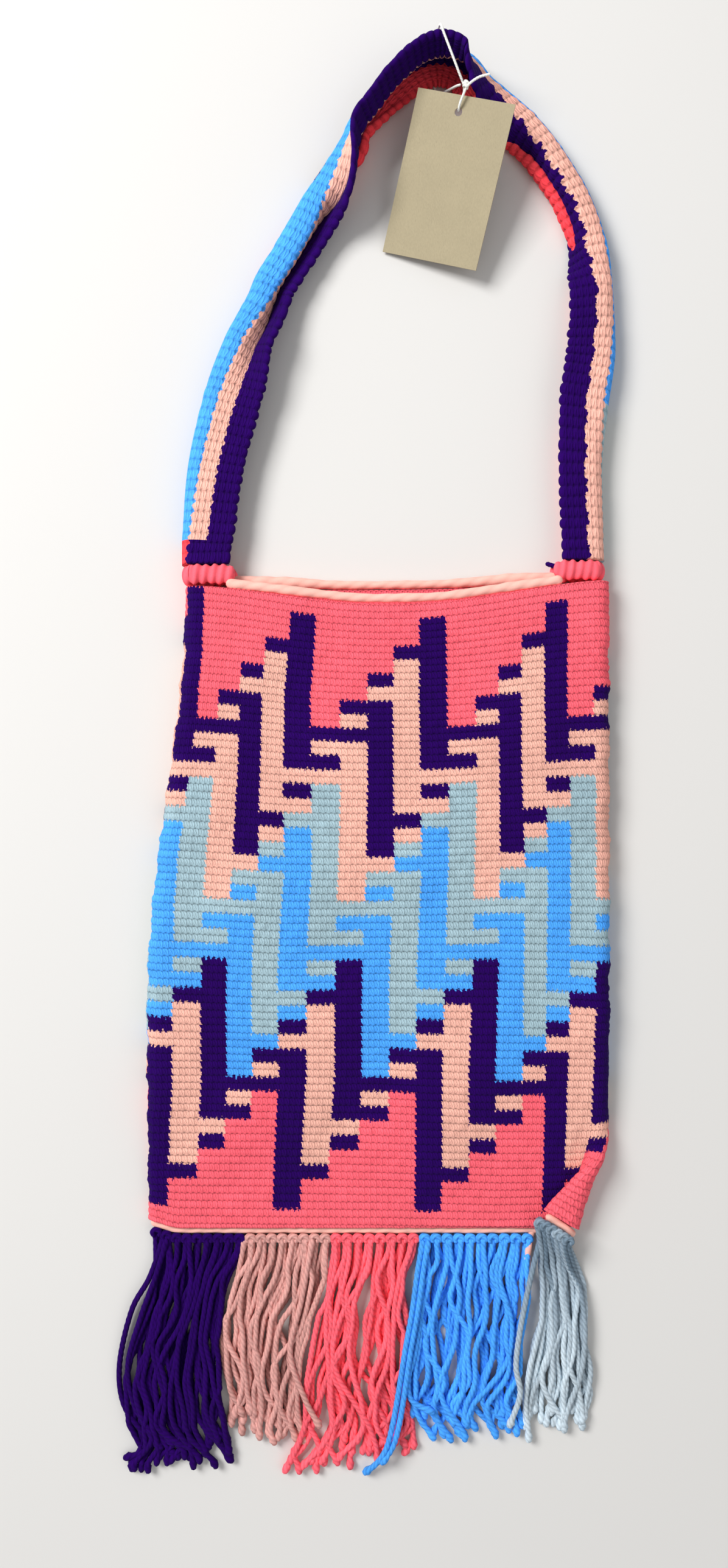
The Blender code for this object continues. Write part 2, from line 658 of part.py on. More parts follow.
def tag_place():
    """Where the card lies: turned, tilted up to the strap and rolled a little."""
    turn = Matrix.Rotation(TAG_TURN, 4, "Z")
    tilt = Matrix.Rotation(TAG_TILT, 4, "X")
    roll = Matrix.Rotation(TAG_ROLL, 4, "Y")
    return Matrix.Translation(TAG_CENTRE) @ turn @ tilt @ roll


def build_tag(collection):
    """The card with its punched hole, and the string that ties it round the strap."""
    data = bpy.data.curves.new("tag_card", "CURVE")
    data.dimensions = "2D"
    data.fill_mode = "BOTH"
    data.extrude = TAG_THICKNESS / 2
    half_x = TAG_WIDTH / 2
    half_y = TAG_LENGTH / 2
    outline = [(-half_x, -half_y), (half_x, -half_y), (half_x, half_y), (-half_x, half_y)]
    angles = [2 * math.pi * step / 12 for step in range(12)]
    hole_y = half_y - TAG_HOLE_INSET
    hole = [(TAG_HOLE_X + TAG_HOLE_RADIUS * math.cos(a), hole_y + TAG_HOLE_RADIUS * math.sin(a))
            for a in angles]
    for points in (outline, hole):
        spline = data.splines.new("POLY")
        spline.use_cyclic_u = True
        spline.points.add(len(points) - 1)
        for target, point in zip(spline.points, points):
            target.co = (*point, 0.0, 1.0)
    card = add_object(collection, "tag_card", data, material("kraft_card", KRAFT, 0.8))
    card.matrix_world = tag_place()
    as_mesh(card)
    route = spread(STRING_ROUTE, 54)
    finish = material("cotton_string", WHITE, 0.8)
    tube_object(collection, "tag_string", route, STRING_RADIUS, finish, resolution=2)


def main():
    """Clear the file and build the bag."""
    for made in list(bpy.data.objects):
        bpy.data.objects.remove(made, do_unlink=True)
    collection = bpy.data.collections.new("bilum_bag")
    bpy.context.scene.collection.children.link(collection)
    build_body(collection)
    build_mouth_edging(collection)
    build_base_edging(collection)
    build_strap(collection)
    build_joints(collection)
    build_fringe(collection)
    build_tag(collection)


main()
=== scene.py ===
"""Dress the looped-yarn shoulder bag that lies flat on its back.

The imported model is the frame. Each soft solid is replaced by a fine yarn surface that keeps the
solid's own shape: the body and the shoulder band are sheets of looped stitches, and the edgings,
lashings, fringe and tag string are twisted yarns carried along their routes. +X runs across the
bag, +Y from the fringe to the band, and +Z up from the floor. Lengths are in metres.
"""

import math

import bpy
import numpy as np
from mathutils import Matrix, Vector


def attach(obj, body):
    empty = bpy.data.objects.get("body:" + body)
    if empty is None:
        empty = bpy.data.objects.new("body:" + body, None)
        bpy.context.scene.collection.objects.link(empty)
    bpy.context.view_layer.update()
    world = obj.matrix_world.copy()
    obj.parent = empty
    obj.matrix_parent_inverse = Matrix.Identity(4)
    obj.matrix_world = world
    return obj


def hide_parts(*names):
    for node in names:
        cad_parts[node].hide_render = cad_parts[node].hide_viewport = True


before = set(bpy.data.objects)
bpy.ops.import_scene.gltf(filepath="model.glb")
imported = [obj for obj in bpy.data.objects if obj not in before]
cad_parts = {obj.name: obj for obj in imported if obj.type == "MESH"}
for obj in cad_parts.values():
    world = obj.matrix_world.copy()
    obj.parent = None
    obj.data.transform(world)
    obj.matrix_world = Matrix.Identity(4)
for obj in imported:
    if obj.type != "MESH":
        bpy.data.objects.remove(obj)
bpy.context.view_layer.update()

bl_info = {
    "name": "Looped Yarn Bag",
    "version": (1, 0, 0),
    "blender": (4, 5, 0),
    "location": "3D View > Sidebar > Yarn Bag",
    "description": "Builds the looped body, band, edgings, fringe and tag of a shoulder bag",
    "category": "Object",
}

SEAT_GAP = 0.0003

# Body
BODY_LENGTH = 0.354
BASE_WIDTH = 0.2535
MOUTH_WIDTH = 0.232
BASE_CENTRE_X = -0.0035
MOUTH_CENTRE_X = 0.0070
TAPER_START = 0.35
WALL = 0.0038
BASE_THICKNESS = 0.0078
BODY_THICKNESS = 0.0163
THICKENING_END = 0.30
MOUTH_SAG = 0.0118
# Share of that sag which the back layer of the mouth has
BACK_SAG = 0.15
MOUTH_TILT = 0.0015
MOUTH_RISE_LEFT = -0.0008
BASE_CORNER_RISE = 0.004
BASE_Y = -BODY_LENGTH / 2
FRONT_COLUMNS = (0.22, 0.41, 0.60, 0.79)
CAVITY_STEPS = (1.0, 0.85, 0.65, 0.45, 0.32, 0.26, 0.21, 0.17, 0.13, 0.10, 0.07, 0.05)
# Degrees round the rim at its rings, from outside over the top to inside
RIM_TURNS = (45.0, 90.0, 135.0)

# Corner folded over the front
FOLD_BASE_X = 0.0985
FOLD_LEAN = math.radians(13.0)
FOLD_GAP = 0.0016
FOLD_CLEARANCE = 0.0008
FOLD_FULL_Y = -0.150
FOLD_END_Y = -0.108
FLAP_PULL = 0.65

# Rounds of stitches: the first round starts a part of a row below the base
ROWS = 87
ROW_OFFSET = 2 / 3
STITCHES = 175
SAMPLES_PER_ROW = 3
SAMPLES_PER_STITCH = 2
# Seeds of the random draws
BODY_SEED = 3
BAND_SEED = 5
FRINGE_SEED = 11
# Pattern: its top row, its first stitch and the left corner's last one; the sizes of a column and
# a step; how many steps each column hangs below the one before; how many columns, and bands, make
# a period; and the steps of a long band and of a period
PATTERN_TOP_ROW = 85
PATTERN_FIRST_STITCH = 16.6
CORNER_LAST_STITCH = 6.7
COLUMN_STITCHES = 5.0
STEP_ROWS = 2.0
COLUMN_DROP = 2.0
PERIOD_BANDS = 5.0
LONG_BAND_STEPS = 11.0
PERIOD_STEPS = 15.0
# How far the fabric has strayed from an even grid: stitches across and rows up, each a table
# with one line for each height in rows and one value for each place in stitches
SLIP_ACROSS = (0, 12, 24, 36, 48, 60, 70, 79, 87.5)
SLIP_UP = (0, 10, 22, 36, 50, 62, 74, 87.6)
SLIP = (
    (2.5, 2.4, 2.8, 2.1, 1.0, 1.3, 1.7, 2.9, 3.4), (2.0, 1.2, 2.1, 2.0, 1.0, 1.0, 1.1, 3.5, 4.1),
    (0.3, 0.0, 0.9, 0.8, 0.9, 1.5, 1.7, 3.6, 4.1), (0.3, 0.0, 1.2, 0.7, 1.0, 0.7, 1.5, 3.3, 3.6),
    (1.4, 0.7, 1.1, 1.2, 0.7, 0.9, 1.6, 3.4, 3.6), (0.4, 1.3, 3.2, 2.0, 2.1, 1.1, 2.9, 3.6, 3.7),
    (-0.8, 2.8, 4.7, 3.3, 3.2, 2.2, 3.5, 4.6, 3.8), (-0.8, 3.1, 3.9, 3.8, 3.7, 3.2, 3.3, 4.5, 4.2),
)
RISE_ACROSS = (0, 24, 44, 66, 87.5)
RISE_UP = (0, 16, 32, 48, 66, 87.6)
RISE = (
    (-0.28, -0.07, 0.04, 0.28, -0.04), (-0.87, -0.89, -0.66, 0.03, -0.13),
    (-0.88, -0.42, -0.86, -0.47, 0.39), (-1.10, -0.65, -0.96, -1.00, -0.41),
    (-1.09, -0.98, -1.22, -0.97, -0.91), (-0.70, -0.45, -0.51, -0.54, -0.40),
)

# Edgings, lashings and ends
MOUTH_EDGING_RADIUS = 0.0023
BASE_EDGING_RADIUS = 0.0016
EDGING_TAIL_RADIUS = 0.0018
EDGING_TAIL_LENGTH = 0.020
EDGING_TAIL_X = 0.0815
EDGING_TURN = 0.0190
# Points over which the mouth's edging rounds off the rim's corners
RIM_SMOOTHING = 25
# Share by which the yarn of an edging is fuller than its CAD solid, in its middle and at its ends
VISIBLE_EDGING = {"base_edging": (1.28, 1.28), "mouth_edging_front": (1.06, 1.15),
                  "mouth_edging_back": (1.0, 1.50)}
JOINT_RADIUS = 0.0032
JOINT_REACH_LEFT = 0.027
JOINT_REACH_RIGHT = 0.026
JOINT_GAP = 0.0006
LASHING_TURN = 0.0046
# How many times higher along the bag than thick a lashing's coils are, and the room above them
LASHING_HEIGHT = 1.65
LASHING_ROOM = 0.0010
HEADER_RADIUS = 0.0024
YARN_TAIL_RADIUS = 0.0013
YARN_TAIL_TURN = 0.0060

# Band
STRAP_WIDTH = 0.050
STRAP_THICKNESS = 0.0036
STRAP_BEND_RADIUS = 0.0057
STRAP_ROLL_RADIUS = 0.0027
STRAP_ROW = 0.0058
STRIPE_WIDTH = 0.0095
STRAP_STITCH = STRIPE_WIDTH / 3
STRAP_SAMPLES_PER_ROW = 5
# Columns of the band's faces across its width, and the finer steps that are summed between them
BAND_COLUMNS = 48
FINE_STEPS = 5
# Degrees round the band's two edges at their rings
EDGE_TURNS = (30.0, 70.0, 110.0, 150.0)
# Share of the band's width that curls; where its peach and purple stripes bend and over how far;
# and how much sooner the peach stripe bends for each degree of its dip
CURL_SHARE = 0.24
PEACH_BEND = (0.028, 0.004)
PURPLE_BEND = (0.0355, 0.005)
SOONER_PER_DEGREE = 0.000022
# How deep the band's valleys lie, as a share of its relief
BAND_VALLEY = 0.65
STRAP_LEFT_X = -0.1115
STRAP_RIGHT_X = 0.1210
STRAP_CREST_LIFT = 0.0019
# Stations: x, y, turn, beyond, curl, roll, lift, dip and tilt. Lengths are in metres and angles in
# degrees. The start and the finish get their x and y from the lashings.
STRAP_START = (180, 0.0178, 0, 0, 0.0, 0, 0)
STRAP_ROUTE = (
    (-0.1113, 0.2050, 180, 0.0195, 0, 0, 0.0, 0, 0),
    (-0.1079, 0.2449, 180, 0.0222, 0, 0, 0.0, 0, 0),
    (-0.0987, 0.2848, 180, 0.0236, 0, 0, 0.0, 10, -10),
    (-0.0886, 0.3119, 180, 0.0246, 0, 0, 0.0, 42, -45),
    (-0.0820, 0.3245, 180, 0.0250, 15, 0, 0.0, 52, -64),
    (-0.0757, 0.3360, 180, 0.0268, 15, 0, 0.0, 86, -56),
    (-0.0708, 0.3475, 180, 0.0282, 10, 0, 0.0, 102, -50),
    (-0.0616, 0.3624, 180, 0.0286, 10, 0, 0.0, 107, -44),
    (-0.0525, 0.3779, 178, 0.0284, 10, 0, 0.0, 104, -40),
    (-0.0456, 0.3900, 170, 0.0277, 10, 0, 0.0, 88, -44),
    (-0.0388, 0.3998, 158, 0.0274, 5, 60, 0.0, 50, -55),
    (-0.0308, 0.4120, 142, 0.0276, 0, 120, 0.0, 12, -54),
    (-0.0242, 0.4228, 128, 0.0268, 0, 140, 0.0, 0, -56),
    (-0.0190, 0.4338, 130, 0.0290, 0, 130, 0.0, 0, -58),
    (-0.0049, 0.4521, 133, 0.0284, 0, 60, STRAP_CREST_LIFT, 0, -62),
    (0.0128, 0.4674, 133, 0.0282, 0, 0, STRAP_CREST_LIFT, 0, -62),
    (0.0305, 0.4727, 133, 0.0282, 0, 0, STRAP_CREST_LIFT, 0, -62),
    (0.0484, 0.4670, 128, 0.0278, 0, 0, STRAP_CREST_LIFT, 0, -42),
    (0.0602, 0.4553, 126, 0.0255, 0, 15, 0.0, 0, 10),
    (0.0742, 0.4436, 148, 0.0205, 0, 70, 0.0, 0, 55),
    (0.0862, 0.4322, 166, 0.0180, 0, 120, 0.0, 0, 78),
    (0.0968, 0.4188, 174, 0.0170, 0, 150, 0.0, 0, 82),
    (0.1090, 0.3998, 176, 0.0168, 0, 165, 0.0, 0, 78),
    (0.1178, 0.3803, 178, 0.0162, 0, 172, 0.0, 0, 68),
    (0.1236, 0.3601, 180, 0.0174, 0, 168, 0.0, 0, 56),
    (0.1258, 0.3380, 180, 0.0152, 0, 172, 0.0, 0, 12),
    (0.1271, 0.3050, 180, 0.0180, 0, 90, 0.0, 0, 0),
    (0.1232, 0.2752, 180, 0.0182, 0, 100, 0.0, 0, 0),
    (0.1200, 0.2451, 180, 0.0156, 0, 150, 0.0, 0, 0),
    (0.1205, 0.2120, 180, 0.0150, 0, 170, 0.0, 0, 0),
)
STRAP_FINISH = (180, 0.0146, 0, 175, 0.0, 0, 0)
# Rows in which the stripes change: the last ones, the first ones and the crest's
GREY_ROOT_ROWS = 14.7
PURPLE_ROOT_ROWS = 2.3
# Over the crest's rows grey turns purple, partly painted shade for the band's inner gap
CREST_ROWS = (39.2, 87.2)
# Notches of the purple stripe: rows between two, share of them that is notched, how deep in
# stitches, the first row, and the first stitch
NOTCH_ROWS = 3.1
NOTCH_SHARE = 0.4
NOTCH_DEPTH = 0.35
NOTCH_FIRST_ROW = 61.2
NOTCH_FIRST_STITCH = 10.5

# Tag string
STRING_RADIUS = 0.00065
STRING_TURN = 0.0030
STRING_ROUTE = (
    (0.0545, 0.4410, 0.0362), (0.0490, 0.4400, 0.0352), (0.0437, 0.4372, 0.0330),
    (0.0412, 0.4330, 0.0309), (0.0397, 0.4296, 0.0290), (0.0394, 0.4281, 0.0260),
    (0.0402, 0.4304, 0.0238), (0.0416, 0.4350, 0.0258), (0.0420, 0.4388, 0.0290),
    (0.0388, 0.4440, 0.0335), (0.0340, 0.4530, 0.0378), (0.0302, 0.4612, 0.0399),
    (0.0293, 0.4643, 0.0395), (0.0285, 0.4667, 0.0365), (0.0276, 0.4698, 0.0240),
    (0.0270, 0.4738, 0.0110), (0.0270, 0.4731, 0.0042), (0.0274, 0.4668, 0.0010),
    (0.0280, 0.4580, 0.0009), (0.0288, 0.4526, 0.0011), (0.0306, 0.4500, 0.0042),
    (0.0348, 0.4468, 0.0130), (0.0382, 0.4434, 0.0220), (0.0400, 0.4412, 0.0268),
)
STRING_KNOT = (0.0425, 0.4378, 0.0322)
KNOT_TURNS = 2.35

# Fringe: piece, colour, first and last x on the base before the fold, knots, strands, y of the
# left and right tips, and the group's (y, left x, right x) from its top down
FRINGE_GROUPS = (
    ("fringe_purple", "purple", -0.1262, -0.0802, 9, 40, -0.3070, -0.3020,
     ((-0.1816, -0.1282, -0.0769), (-0.199, -0.1294, -0.0827), (-0.217, -0.1317, -0.0880),
      (-0.240, -0.1400, -0.0905), (-0.263, -0.1450, -0.0897), (-0.287, -0.1434, -0.0874),
      (-0.301, -0.1364, -0.085), (-0.310, -0.1420, -0.0827))),
    ("fringe_peach", "dusty_peach", -0.0742, -0.0328, 8, 34, -0.2860, -0.2930,
     ((-0.184, -0.0769, -0.0302), (-0.205, -0.0827, -0.0313), (-0.228, -0.0895, -0.0400),
      (-0.252, -0.0885, -0.0430), (-0.275, -0.0862, -0.0430), (-0.303, -0.0885, -0.0407))),
    ("fringe_coral", "coral", -0.0268, 0.0160, 8, 36, -0.3100, -0.3000,
     ((-0.184, -0.0290, 0.0190), (-0.217, -0.0360, 0.0155), (-0.240, -0.0407, 0.0120),
      (-0.263, -0.0445, 0.0109), (-0.287, -0.0453, 0.0170), (-0.300, -0.0500, 0.0179),
      (-0.317, -0.0582, 0.0179))),
    ("fringe_blue", "blue", 0.0222, 0.0790, 10, 38, -0.2900, -0.2860,
     ((-0.184, 0.0202, 0.0809), (-0.217, 0.0179, 0.0809), (-0.240, 0.0167, 0.0765),
      (-0.263, 0.0125, 0.0762), (-0.275, 0.0109, 0.0750), (-0.298, 0.0190, 0.0797))),
    ("fringe_grey", "slate", 0.12225, 0.1100, 6, 26, -0.2890, -0.2830,
     ((-0.182, 0.0850, 0.1060), (-0.198, 0.0844, 0.1078), (-0.210, 0.0856, 0.1124),
      (-0.228, 0.0850, 0.1136), (-0.252, 0.0786, 0.1160), (-0.270, 0.0765, 0.1175),
      (-0.301, 0.0765, 0.1160))),
)
GREY_TOP_SHIFT = (0.0, 0.0022, 0.0030)
HEADER_LIFT = 0.0008
STRAND_POINTS = 72
# Width of one knot, and how far a tip ends above or below its group's line
KNOT_WIDTH = 0.0021
TIP_SPREAD = 0.0075
# Height of the lowest layer over the floor and of one layer over another, in radii
LOWEST_LAYER = 1.15
LAYER_STEP = 1.62
# A strand's knots: how much fuller than the yarn, how far from its end, and how long
TOP_KNOT = (0.30, 0.0022, 0.0021)
TIP_KNOT = (0.50, 0.0017, 0.0016)
# The loop over a knot: half its width, its height and its depth, then how far its middle lies
# below the knot and how far over it
ARCH = (0.0022, 0.0019, 0.0004, 0.0009, 0.0022)
# Strands that leave their group: piece, points as (x, y, z)
LONE_STRANDS = (
    ("fringe_purple", ((-0.1225, -0.1850, 0.0050), (-0.1302, -0.2060, 0.0045),
                       (-0.1400, -0.2240, 0.0040), (-0.1470, -0.2540, 0.0030),
                       (-0.1450, -0.2760, 0.0030), (-0.1350, -0.2910, 0.0032),
                       (-0.1240, -0.3000, 0.0040))),
    ("fringe_purple", ((-0.1205, -0.1850, 0.0060), (-0.1270, -0.2060, 0.0060),
                       (-0.1350, -0.2280, 0.0060), (-0.1420, -0.2540, 0.0050),
                       (-0.1385, -0.2760, 0.0050), (-0.1290, -0.2920, 0.0058),
                       (-0.1330, -0.3020, 0.0045), (-0.1437, -0.3070, 0.0020))),
    ("fringe_peach", ((-0.0775, -0.1850, 0.0050), (-0.0836, -0.2175, 0.0045),
                      (-0.0900, -0.2370, 0.0040), (-0.0876, -0.2600, 0.0036),
                      (-0.0805, -0.2770, 0.0030))),
    ("fringe_peach", ((-0.0400, -0.1850, 0.0060), (-0.0460, -0.2175, 0.0085),
                      (-0.0520, -0.2450, 0.0090), (-0.0440, -0.2700, 0.0095),
                      (-0.0360, -0.2850, 0.0095))),
    ("fringe_blue", ((0.0212, -0.1860, 0.0060), (0.0186, -0.1990, 0.0080),
                     (0.0150, -0.2233, 0.0098), (0.0110, -0.2455, 0.0102),
                     (0.0075, -0.2678, 0.0100), (0.0045, -0.2844, 0.0096),
                     (0.0010, -0.2980, 0.0090), (-0.0045, -0.3075, 0.0070),
                     (-0.0105, -0.3145, 0.0030))),
    ("fringe_blue", ((0.0240, -0.1860, 0.0065), (0.0216, -0.1990, 0.0085),
                     (0.0180, -0.2233, 0.0100), (0.0140, -0.2455, 0.0103),
                     (0.0108, -0.2678, 0.0102), (0.0080, -0.2844, 0.0098),
                     (0.0045, -0.2970, 0.0092), (-0.0010, -0.3060, 0.0080))),
    ("fringe_blue", ((0.0220, -0.1870, 0.0040), (0.0205, -0.2200, 0.0070),
                     (0.0170, -0.2450, 0.0080), (0.0130, -0.2600, 0.0088),
                     (0.0150, -0.2720, 0.0080), (0.0260, -0.2780, 0.0085))),
    ("fringe_grey", ((0.0860, -0.1790, 0.0110), (0.0800, -0.2040, 0.0105),
                     (0.0745, -0.2320, 0.0100), (0.0722, -0.2523, 0.0100),
                     (0.0745, -0.2678, 0.0095), (0.0694, -0.2874, 0.0050))),
)

# Yarns: degrees at the rings that close an end, and the margin that a strand leaves on each side
# of its unit of the UV map
DOME_ANGLES = (70.0, 35.0)
STRAND_MARGIN = 0.05

# Finishes: the inputs of the shader, then the dyed fibres' textures, each with its scale, detail,
# roughness and how much it changes the colour
WOOL = {"Roughness": 0.92, "Specular IOR Level": 0.05, "Sheen Weight": 0.01,
        "Sheen Roughness": 0.6}
BOARD = {"Roughness": 0.78, "Specular IOR Level": 0.3}
PALE_FLOOR = {"Base Color": (0.70, 0.685, 0.66, 1.0), "Roughness": 0.9}
FIBRE_TEXTURES = ((1700.0, 3.0, 0.65, 0.55), (230.0, 2.0, 0.5, 0.40), (28.0, 2.0, 0.5, 0.30))
STITCH_BUMP = 0.0006
BOARD_BUMP = 0.00004

# Camera and light: a lamp's name, place, power and size
CAMERA_PLACE = (-0.0113, 0.0676, 0.632)
CAMERA_SENSOR = 36.0
CAMERA_LENS = 26.0
SKY_COLOUR = (0.97, 0.98, 1.0, 1.0)
SKY_STRENGTH = 0.44
LAMPS = (("window", (-1.25, 0.95, 1.5), 50.0, 0.9), ("fill", (1.3, -0.6, 1.9), 6.0, 1.6))
LAMP_AIM = (0.0, 0.08, 0.0)
FLOOR_HALF = 3.0
FLOOR_DROP = 0.0001


class BagSizes(bpy.types.PropertyGroup):
    """Sizes of the yarns and the relief of their stitches."""

    row_relief: bpy.props.FloatProperty(
        name="Row relief", description="Height of a row of loops over its valleys",
        default=0.00066, min=0.0, unit="LENGTH")
    band_relief: bpy.props.FloatProperty(
        name="Band relief", description="Height of the band's rows over their valleys",
        default=0.00042, min=0.0, unit="LENGTH")
    ripple: bpy.props.FloatProperty(
        name="Ripple", description="How far the front of the body swells and sinks",
        default=0.0010, min=0.0, unit="LENGTH")
    strand_radius: bpy.props.FloatProperty(
        name="Strand radius", description="Radius of one yarn of the fringe",
        default=0.00155, min=0.0005, unit="LENGTH")
    strand_turn: bpy.props.FloatProperty(
        name="Strand turn", description="Length over which a yarn's plies turn once",
        default=0.0105, min=0.001, unit="LENGTH")
    strand_layers: bpy.props.IntProperty(
        name="Strand layers", description="Layers of the fringe, one over another",
        default=3, min=1, max=4)
    stitch_unevenness: bpy.props.FloatProperty(
        name="Stitch unevenness", description="Spread of the stitches' heights, as a share",
        default=0.30, min=0.0, max=1.0, subtype="FACTOR")


class BagColours(bpy.types.PropertyGroup):
    """Colours of the dyed yarns, the card and the string."""

    coral: bpy.props.FloatVectorProperty(
        name="Coral", description="Ground of the body", subtype="COLOR",
        default=(1.0, 0.130, 0.172), min=0.0, max=1.0)
    peach: bpy.props.FloatVectorProperty(
        name="Peach", description="Second colour of the steps", subtype="COLOR",
        default=(0.860, 0.440, 0.350), min=0.0, max=1.0)
    purple: bpy.props.FloatVectorProperty(
        name="Purple", description="First colour of the steps", subtype="COLOR",
        default=(0.019, 0.0004, 0.094), min=0.0, max=1.0)
    blue: bpy.props.FloatVectorProperty(
        name="Blue", description="Blue of the steps", subtype="COLOR",
        default=(0.072, 0.360, 0.960), min=0.0, max=1.0)
    grey: bpy.props.FloatVectorProperty(
        name="Grey", description="Grey green of the steps", subtype="COLOR",
        default=(0.335, 0.470, 0.525), min=0.0, max=1.0)
    dusty_peach: bpy.props.FloatVectorProperty(
        name="Dusty peach", description="Peach strands of the fringe", subtype="COLOR",
        default=(0.640, 0.318, 0.285), min=0.0, max=1.0)
    slate: bpy.props.FloatVectorProperty(
        name="Slate", description="Grey strands of the fringe, at their knots", subtype="COLOR",
        default=(0.165, 0.232, 0.300), min=0.0, max=1.0)
    silver: bpy.props.FloatVectorProperty(
        name="Silver", description="Grey strands of the fringe, at their tips", subtype="COLOR",
        default=(0.560, 0.655, 0.720), min=0.0, max=1.0)
    band_red: bpy.props.FloatVectorProperty(
        name="Band red", description="Inner edge of the band", subtype="COLOR",
        default=(0.95, 0.062, 0.080), min=0.0, max=1.0)
    pale_edge: bpy.props.FloatVectorProperty(
        name="Pale edge", description="Edging of the mouth and the base", subtype="COLOR",
        default=(0.93, 0.49, 0.41), min=0.0, max=1.0)
    kraft: bpy.props.FloatVectorProperty(
        name="Kraft card", description="Card of the hang tag", subtype="COLOR",
        default=(0.385, 0.325, 0.208), min=0.0, max=1.0)
    cotton: bpy.props.FloatVectorProperty(
        name="Cotton", description="String of the hang tag", subtype="COLOR",
        default=(0.850, 0.850, 0.800), min=0.0, max=1.0)


# Meshes from arrays


def smooth(value):
    """Rise from 0 to 1 with level ends: 3 v squared less 2 v cubed."""
    held = np.clip(value, 0.0, 1.0)
    return held * held * (3.0 - 2.0 * held)


def thick_and_thin(count, *waves):
    """Factors along a yarn, at runs from 0 to 1: one plus waves, each its height times the sine
    of its rate times the run plus its start."""
    run = np.linspace(0.0, 1.0, count)
    return 1.0 + sum(height * np.sin(rate * run + start) for height, rate, start in waves)


def own_heights(seed, shape, row, stitch, unevenness, limits):
    """The own height of each stitch, as a factor drawn round one and held between limits."""
    dice = np.random.default_rng(seed).normal(1.0, unevenness, shape)
    return np.clip(dice[row, stitch], *limits)


def grid_block(points, u, v, wrap=True, caps=True):
    """Quads over N grids of points, shaped (N, rows, columns, 3), each closed round its columns
    with wrap, and closed at its first and last row by a fan round the row's middle with caps. u
    and v give the pattern's place of each corner."""
    count, rows, columns = points.shape[:3]
    spans = columns if wrap else columns - 1
    uv = np.stack([np.broadcast_to(u, (count, rows, spans + 1)),
                   np.broadcast_to(v, (count, rows, spans + 1))], axis=-1)
    index = np.arange(count * rows * columns).reshape(count, rows, columns)
    index = np.concatenate([index, index[:, :, :1]], axis=2)[:, :, :spans + 1]
    corners = ((slice(None, -1), slice(None, -1)), (slice(None, -1), slice(1, None)),
               (slice(1, None), slice(1, None)), (slice(1, None), slice(None, -1)))
    quads = np.stack([index[:, a, b] for a, b in corners], axis=-1).reshape(-1, 4)
    quad_uv = np.stack([uv[:, a, b] for a, b in corners], axis=3).reshape(-1, 4, 2)
    vertices = points.reshape(-1, 3)
    faces = [(quads, quad_uv)]
    if caps:
        for row, turned in ((0, True), (-1, False)):
            poles = len(vertices) + np.arange(count)
            vertices = np.vstack([vertices, points[:, row].mean(axis=1)])
            ring = index[:, row]
            fan = np.stack([ring[:, :-1], ring[:, 1:],
                            np.repeat(poles[:, None], spans, axis=1)], axis=-1)
            fan_uv = np.stack([uv[:, row, :-1], uv[:, row, 1:],
                               (uv[:, row, :-1] + uv[:, row, 1:]) / 2], axis=2)
            fan, fan_uv = fan.reshape(-1, 3), fan_uv.reshape(-1, 3, 2)
            if turned:
                fan, fan_uv = fan[:, ::-1], fan_uv[:, ::-1]
            faces.append((fan, fan_uv))
    return vertices, faces


def outward(vertices, faces):
    """The block's faces, all turned round if together they enclose a negative volume."""
    volume = 0.0
    for corners, _ in faces:
        first = vertices[corners[:, 0]]
        for step in range(1, corners.shape[1] - 1):
            cross = np.cross(vertices[corners[:, step]], vertices[corners[:, step + 1]])
            volume += float((first * cross).sum())
    if volume < 0.0:
        return [(corners[:, ::-1], uv[:, ::-1]) for corners, uv in faces]
    return faces


def put_mesh(name, blocks, finish):
    """One mesh object from blocks of (vertices, faces). The pattern's places go into the UV map
    named Yarn."""
    mesh = bpy.data.meshes.new(name)
    vertices, loops, sizes, places, start = [], [], [], [], 0
    for block_vertices, block_faces in blocks:
        for corners, uv in outward(block_vertices, block_faces):
            loops.append((corners + start).ravel())
            sizes.append(np.full(len(corners), corners.shape[1]))
            places.append(uv.reshape(-1, 2))
        vertices.append(block_vertices)
        start += len(block_vertices)
    vertices, loops = np.vstack(vertices), np.concatenate(loops)
    sizes, places = np.concatenate(sizes), np.vstack(places)
    mesh.vertices.add(len(vertices))
    mesh.vertices.foreach_set("co", vertices.ravel())
    mesh.loops.add(len(loops))
    mesh.loops.foreach_set("vertex_index", loops)
    mesh.polygons.add(len(sizes))
    mesh.polygons.foreach_set("loop_start", np.concatenate([[0], np.cumsum(sizes)[:-1]]))
    mesh.polygons.foreach_set("use_smooth", np.ones(len(sizes), dtype=bool))
    layer = mesh.uv_layers.new(name="Yarn")
    layer.data.foreach_set("uv", places.ravel())
    mesh.update(calc_edges=True)
    mesh.validate()
    mesh.materials.append(finish)
    made = bpy.data.objects.new(name, mesh)
    bpy.context.scene.collection.objects.link(made)
    return made


def seat(piece, slot, *nodes):
    """Let the piece ride on the bag and stand for CAD nodes. The slot is not used."""
    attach(piece, "root")
    if nodes:
        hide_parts(*nodes)
    return piece


# Routes and yarns


def spread(points, count, axes=3):
    """Points evenly spaced along a smooth curve through the given ones. Between two points the
    curve is the cubic whose slope at each is half the step between its neighbours. Spacing is
    measured over the first axes only."""
    points = np.array(points, dtype=float)
    padded = np.vstack([2 * points[0] - points[1], points, 2 * points[-1] - points[-2]])
    steps = np.linspace(0.0, 1.0, 16, endpoint=False)[:, None]
    runs = []
    for before, start, end, after in zip(padded, padded[1:], padded[2:], padded[3:]):
        runs.append(0.5 * (2 * start + (end - before) * steps
                           + (2 * before - 5 * start + 4 * end - after) * steps ** 2
                           + (3 * start - before - 3 * end + after) * steps ** 3))
    fine = np.vstack(runs + [points[-1:]])
    gaps = np.linalg.norm(np.diff(fine[:, :axes], axis=0), axis=1)
    run = np.concatenate([[0.0], np.cumsum(gaps)])
    places = np.linspace(0.0, run[-1], count)
    return np.stack([np.interp(places, run, fine[:, axis]) for axis in range(fine.shape[1])], 1)


def route_length(points):
    """The length of a run of points."""
    return float(np.linalg.norm(np.diff(points, axis=0), axis=1).sum())


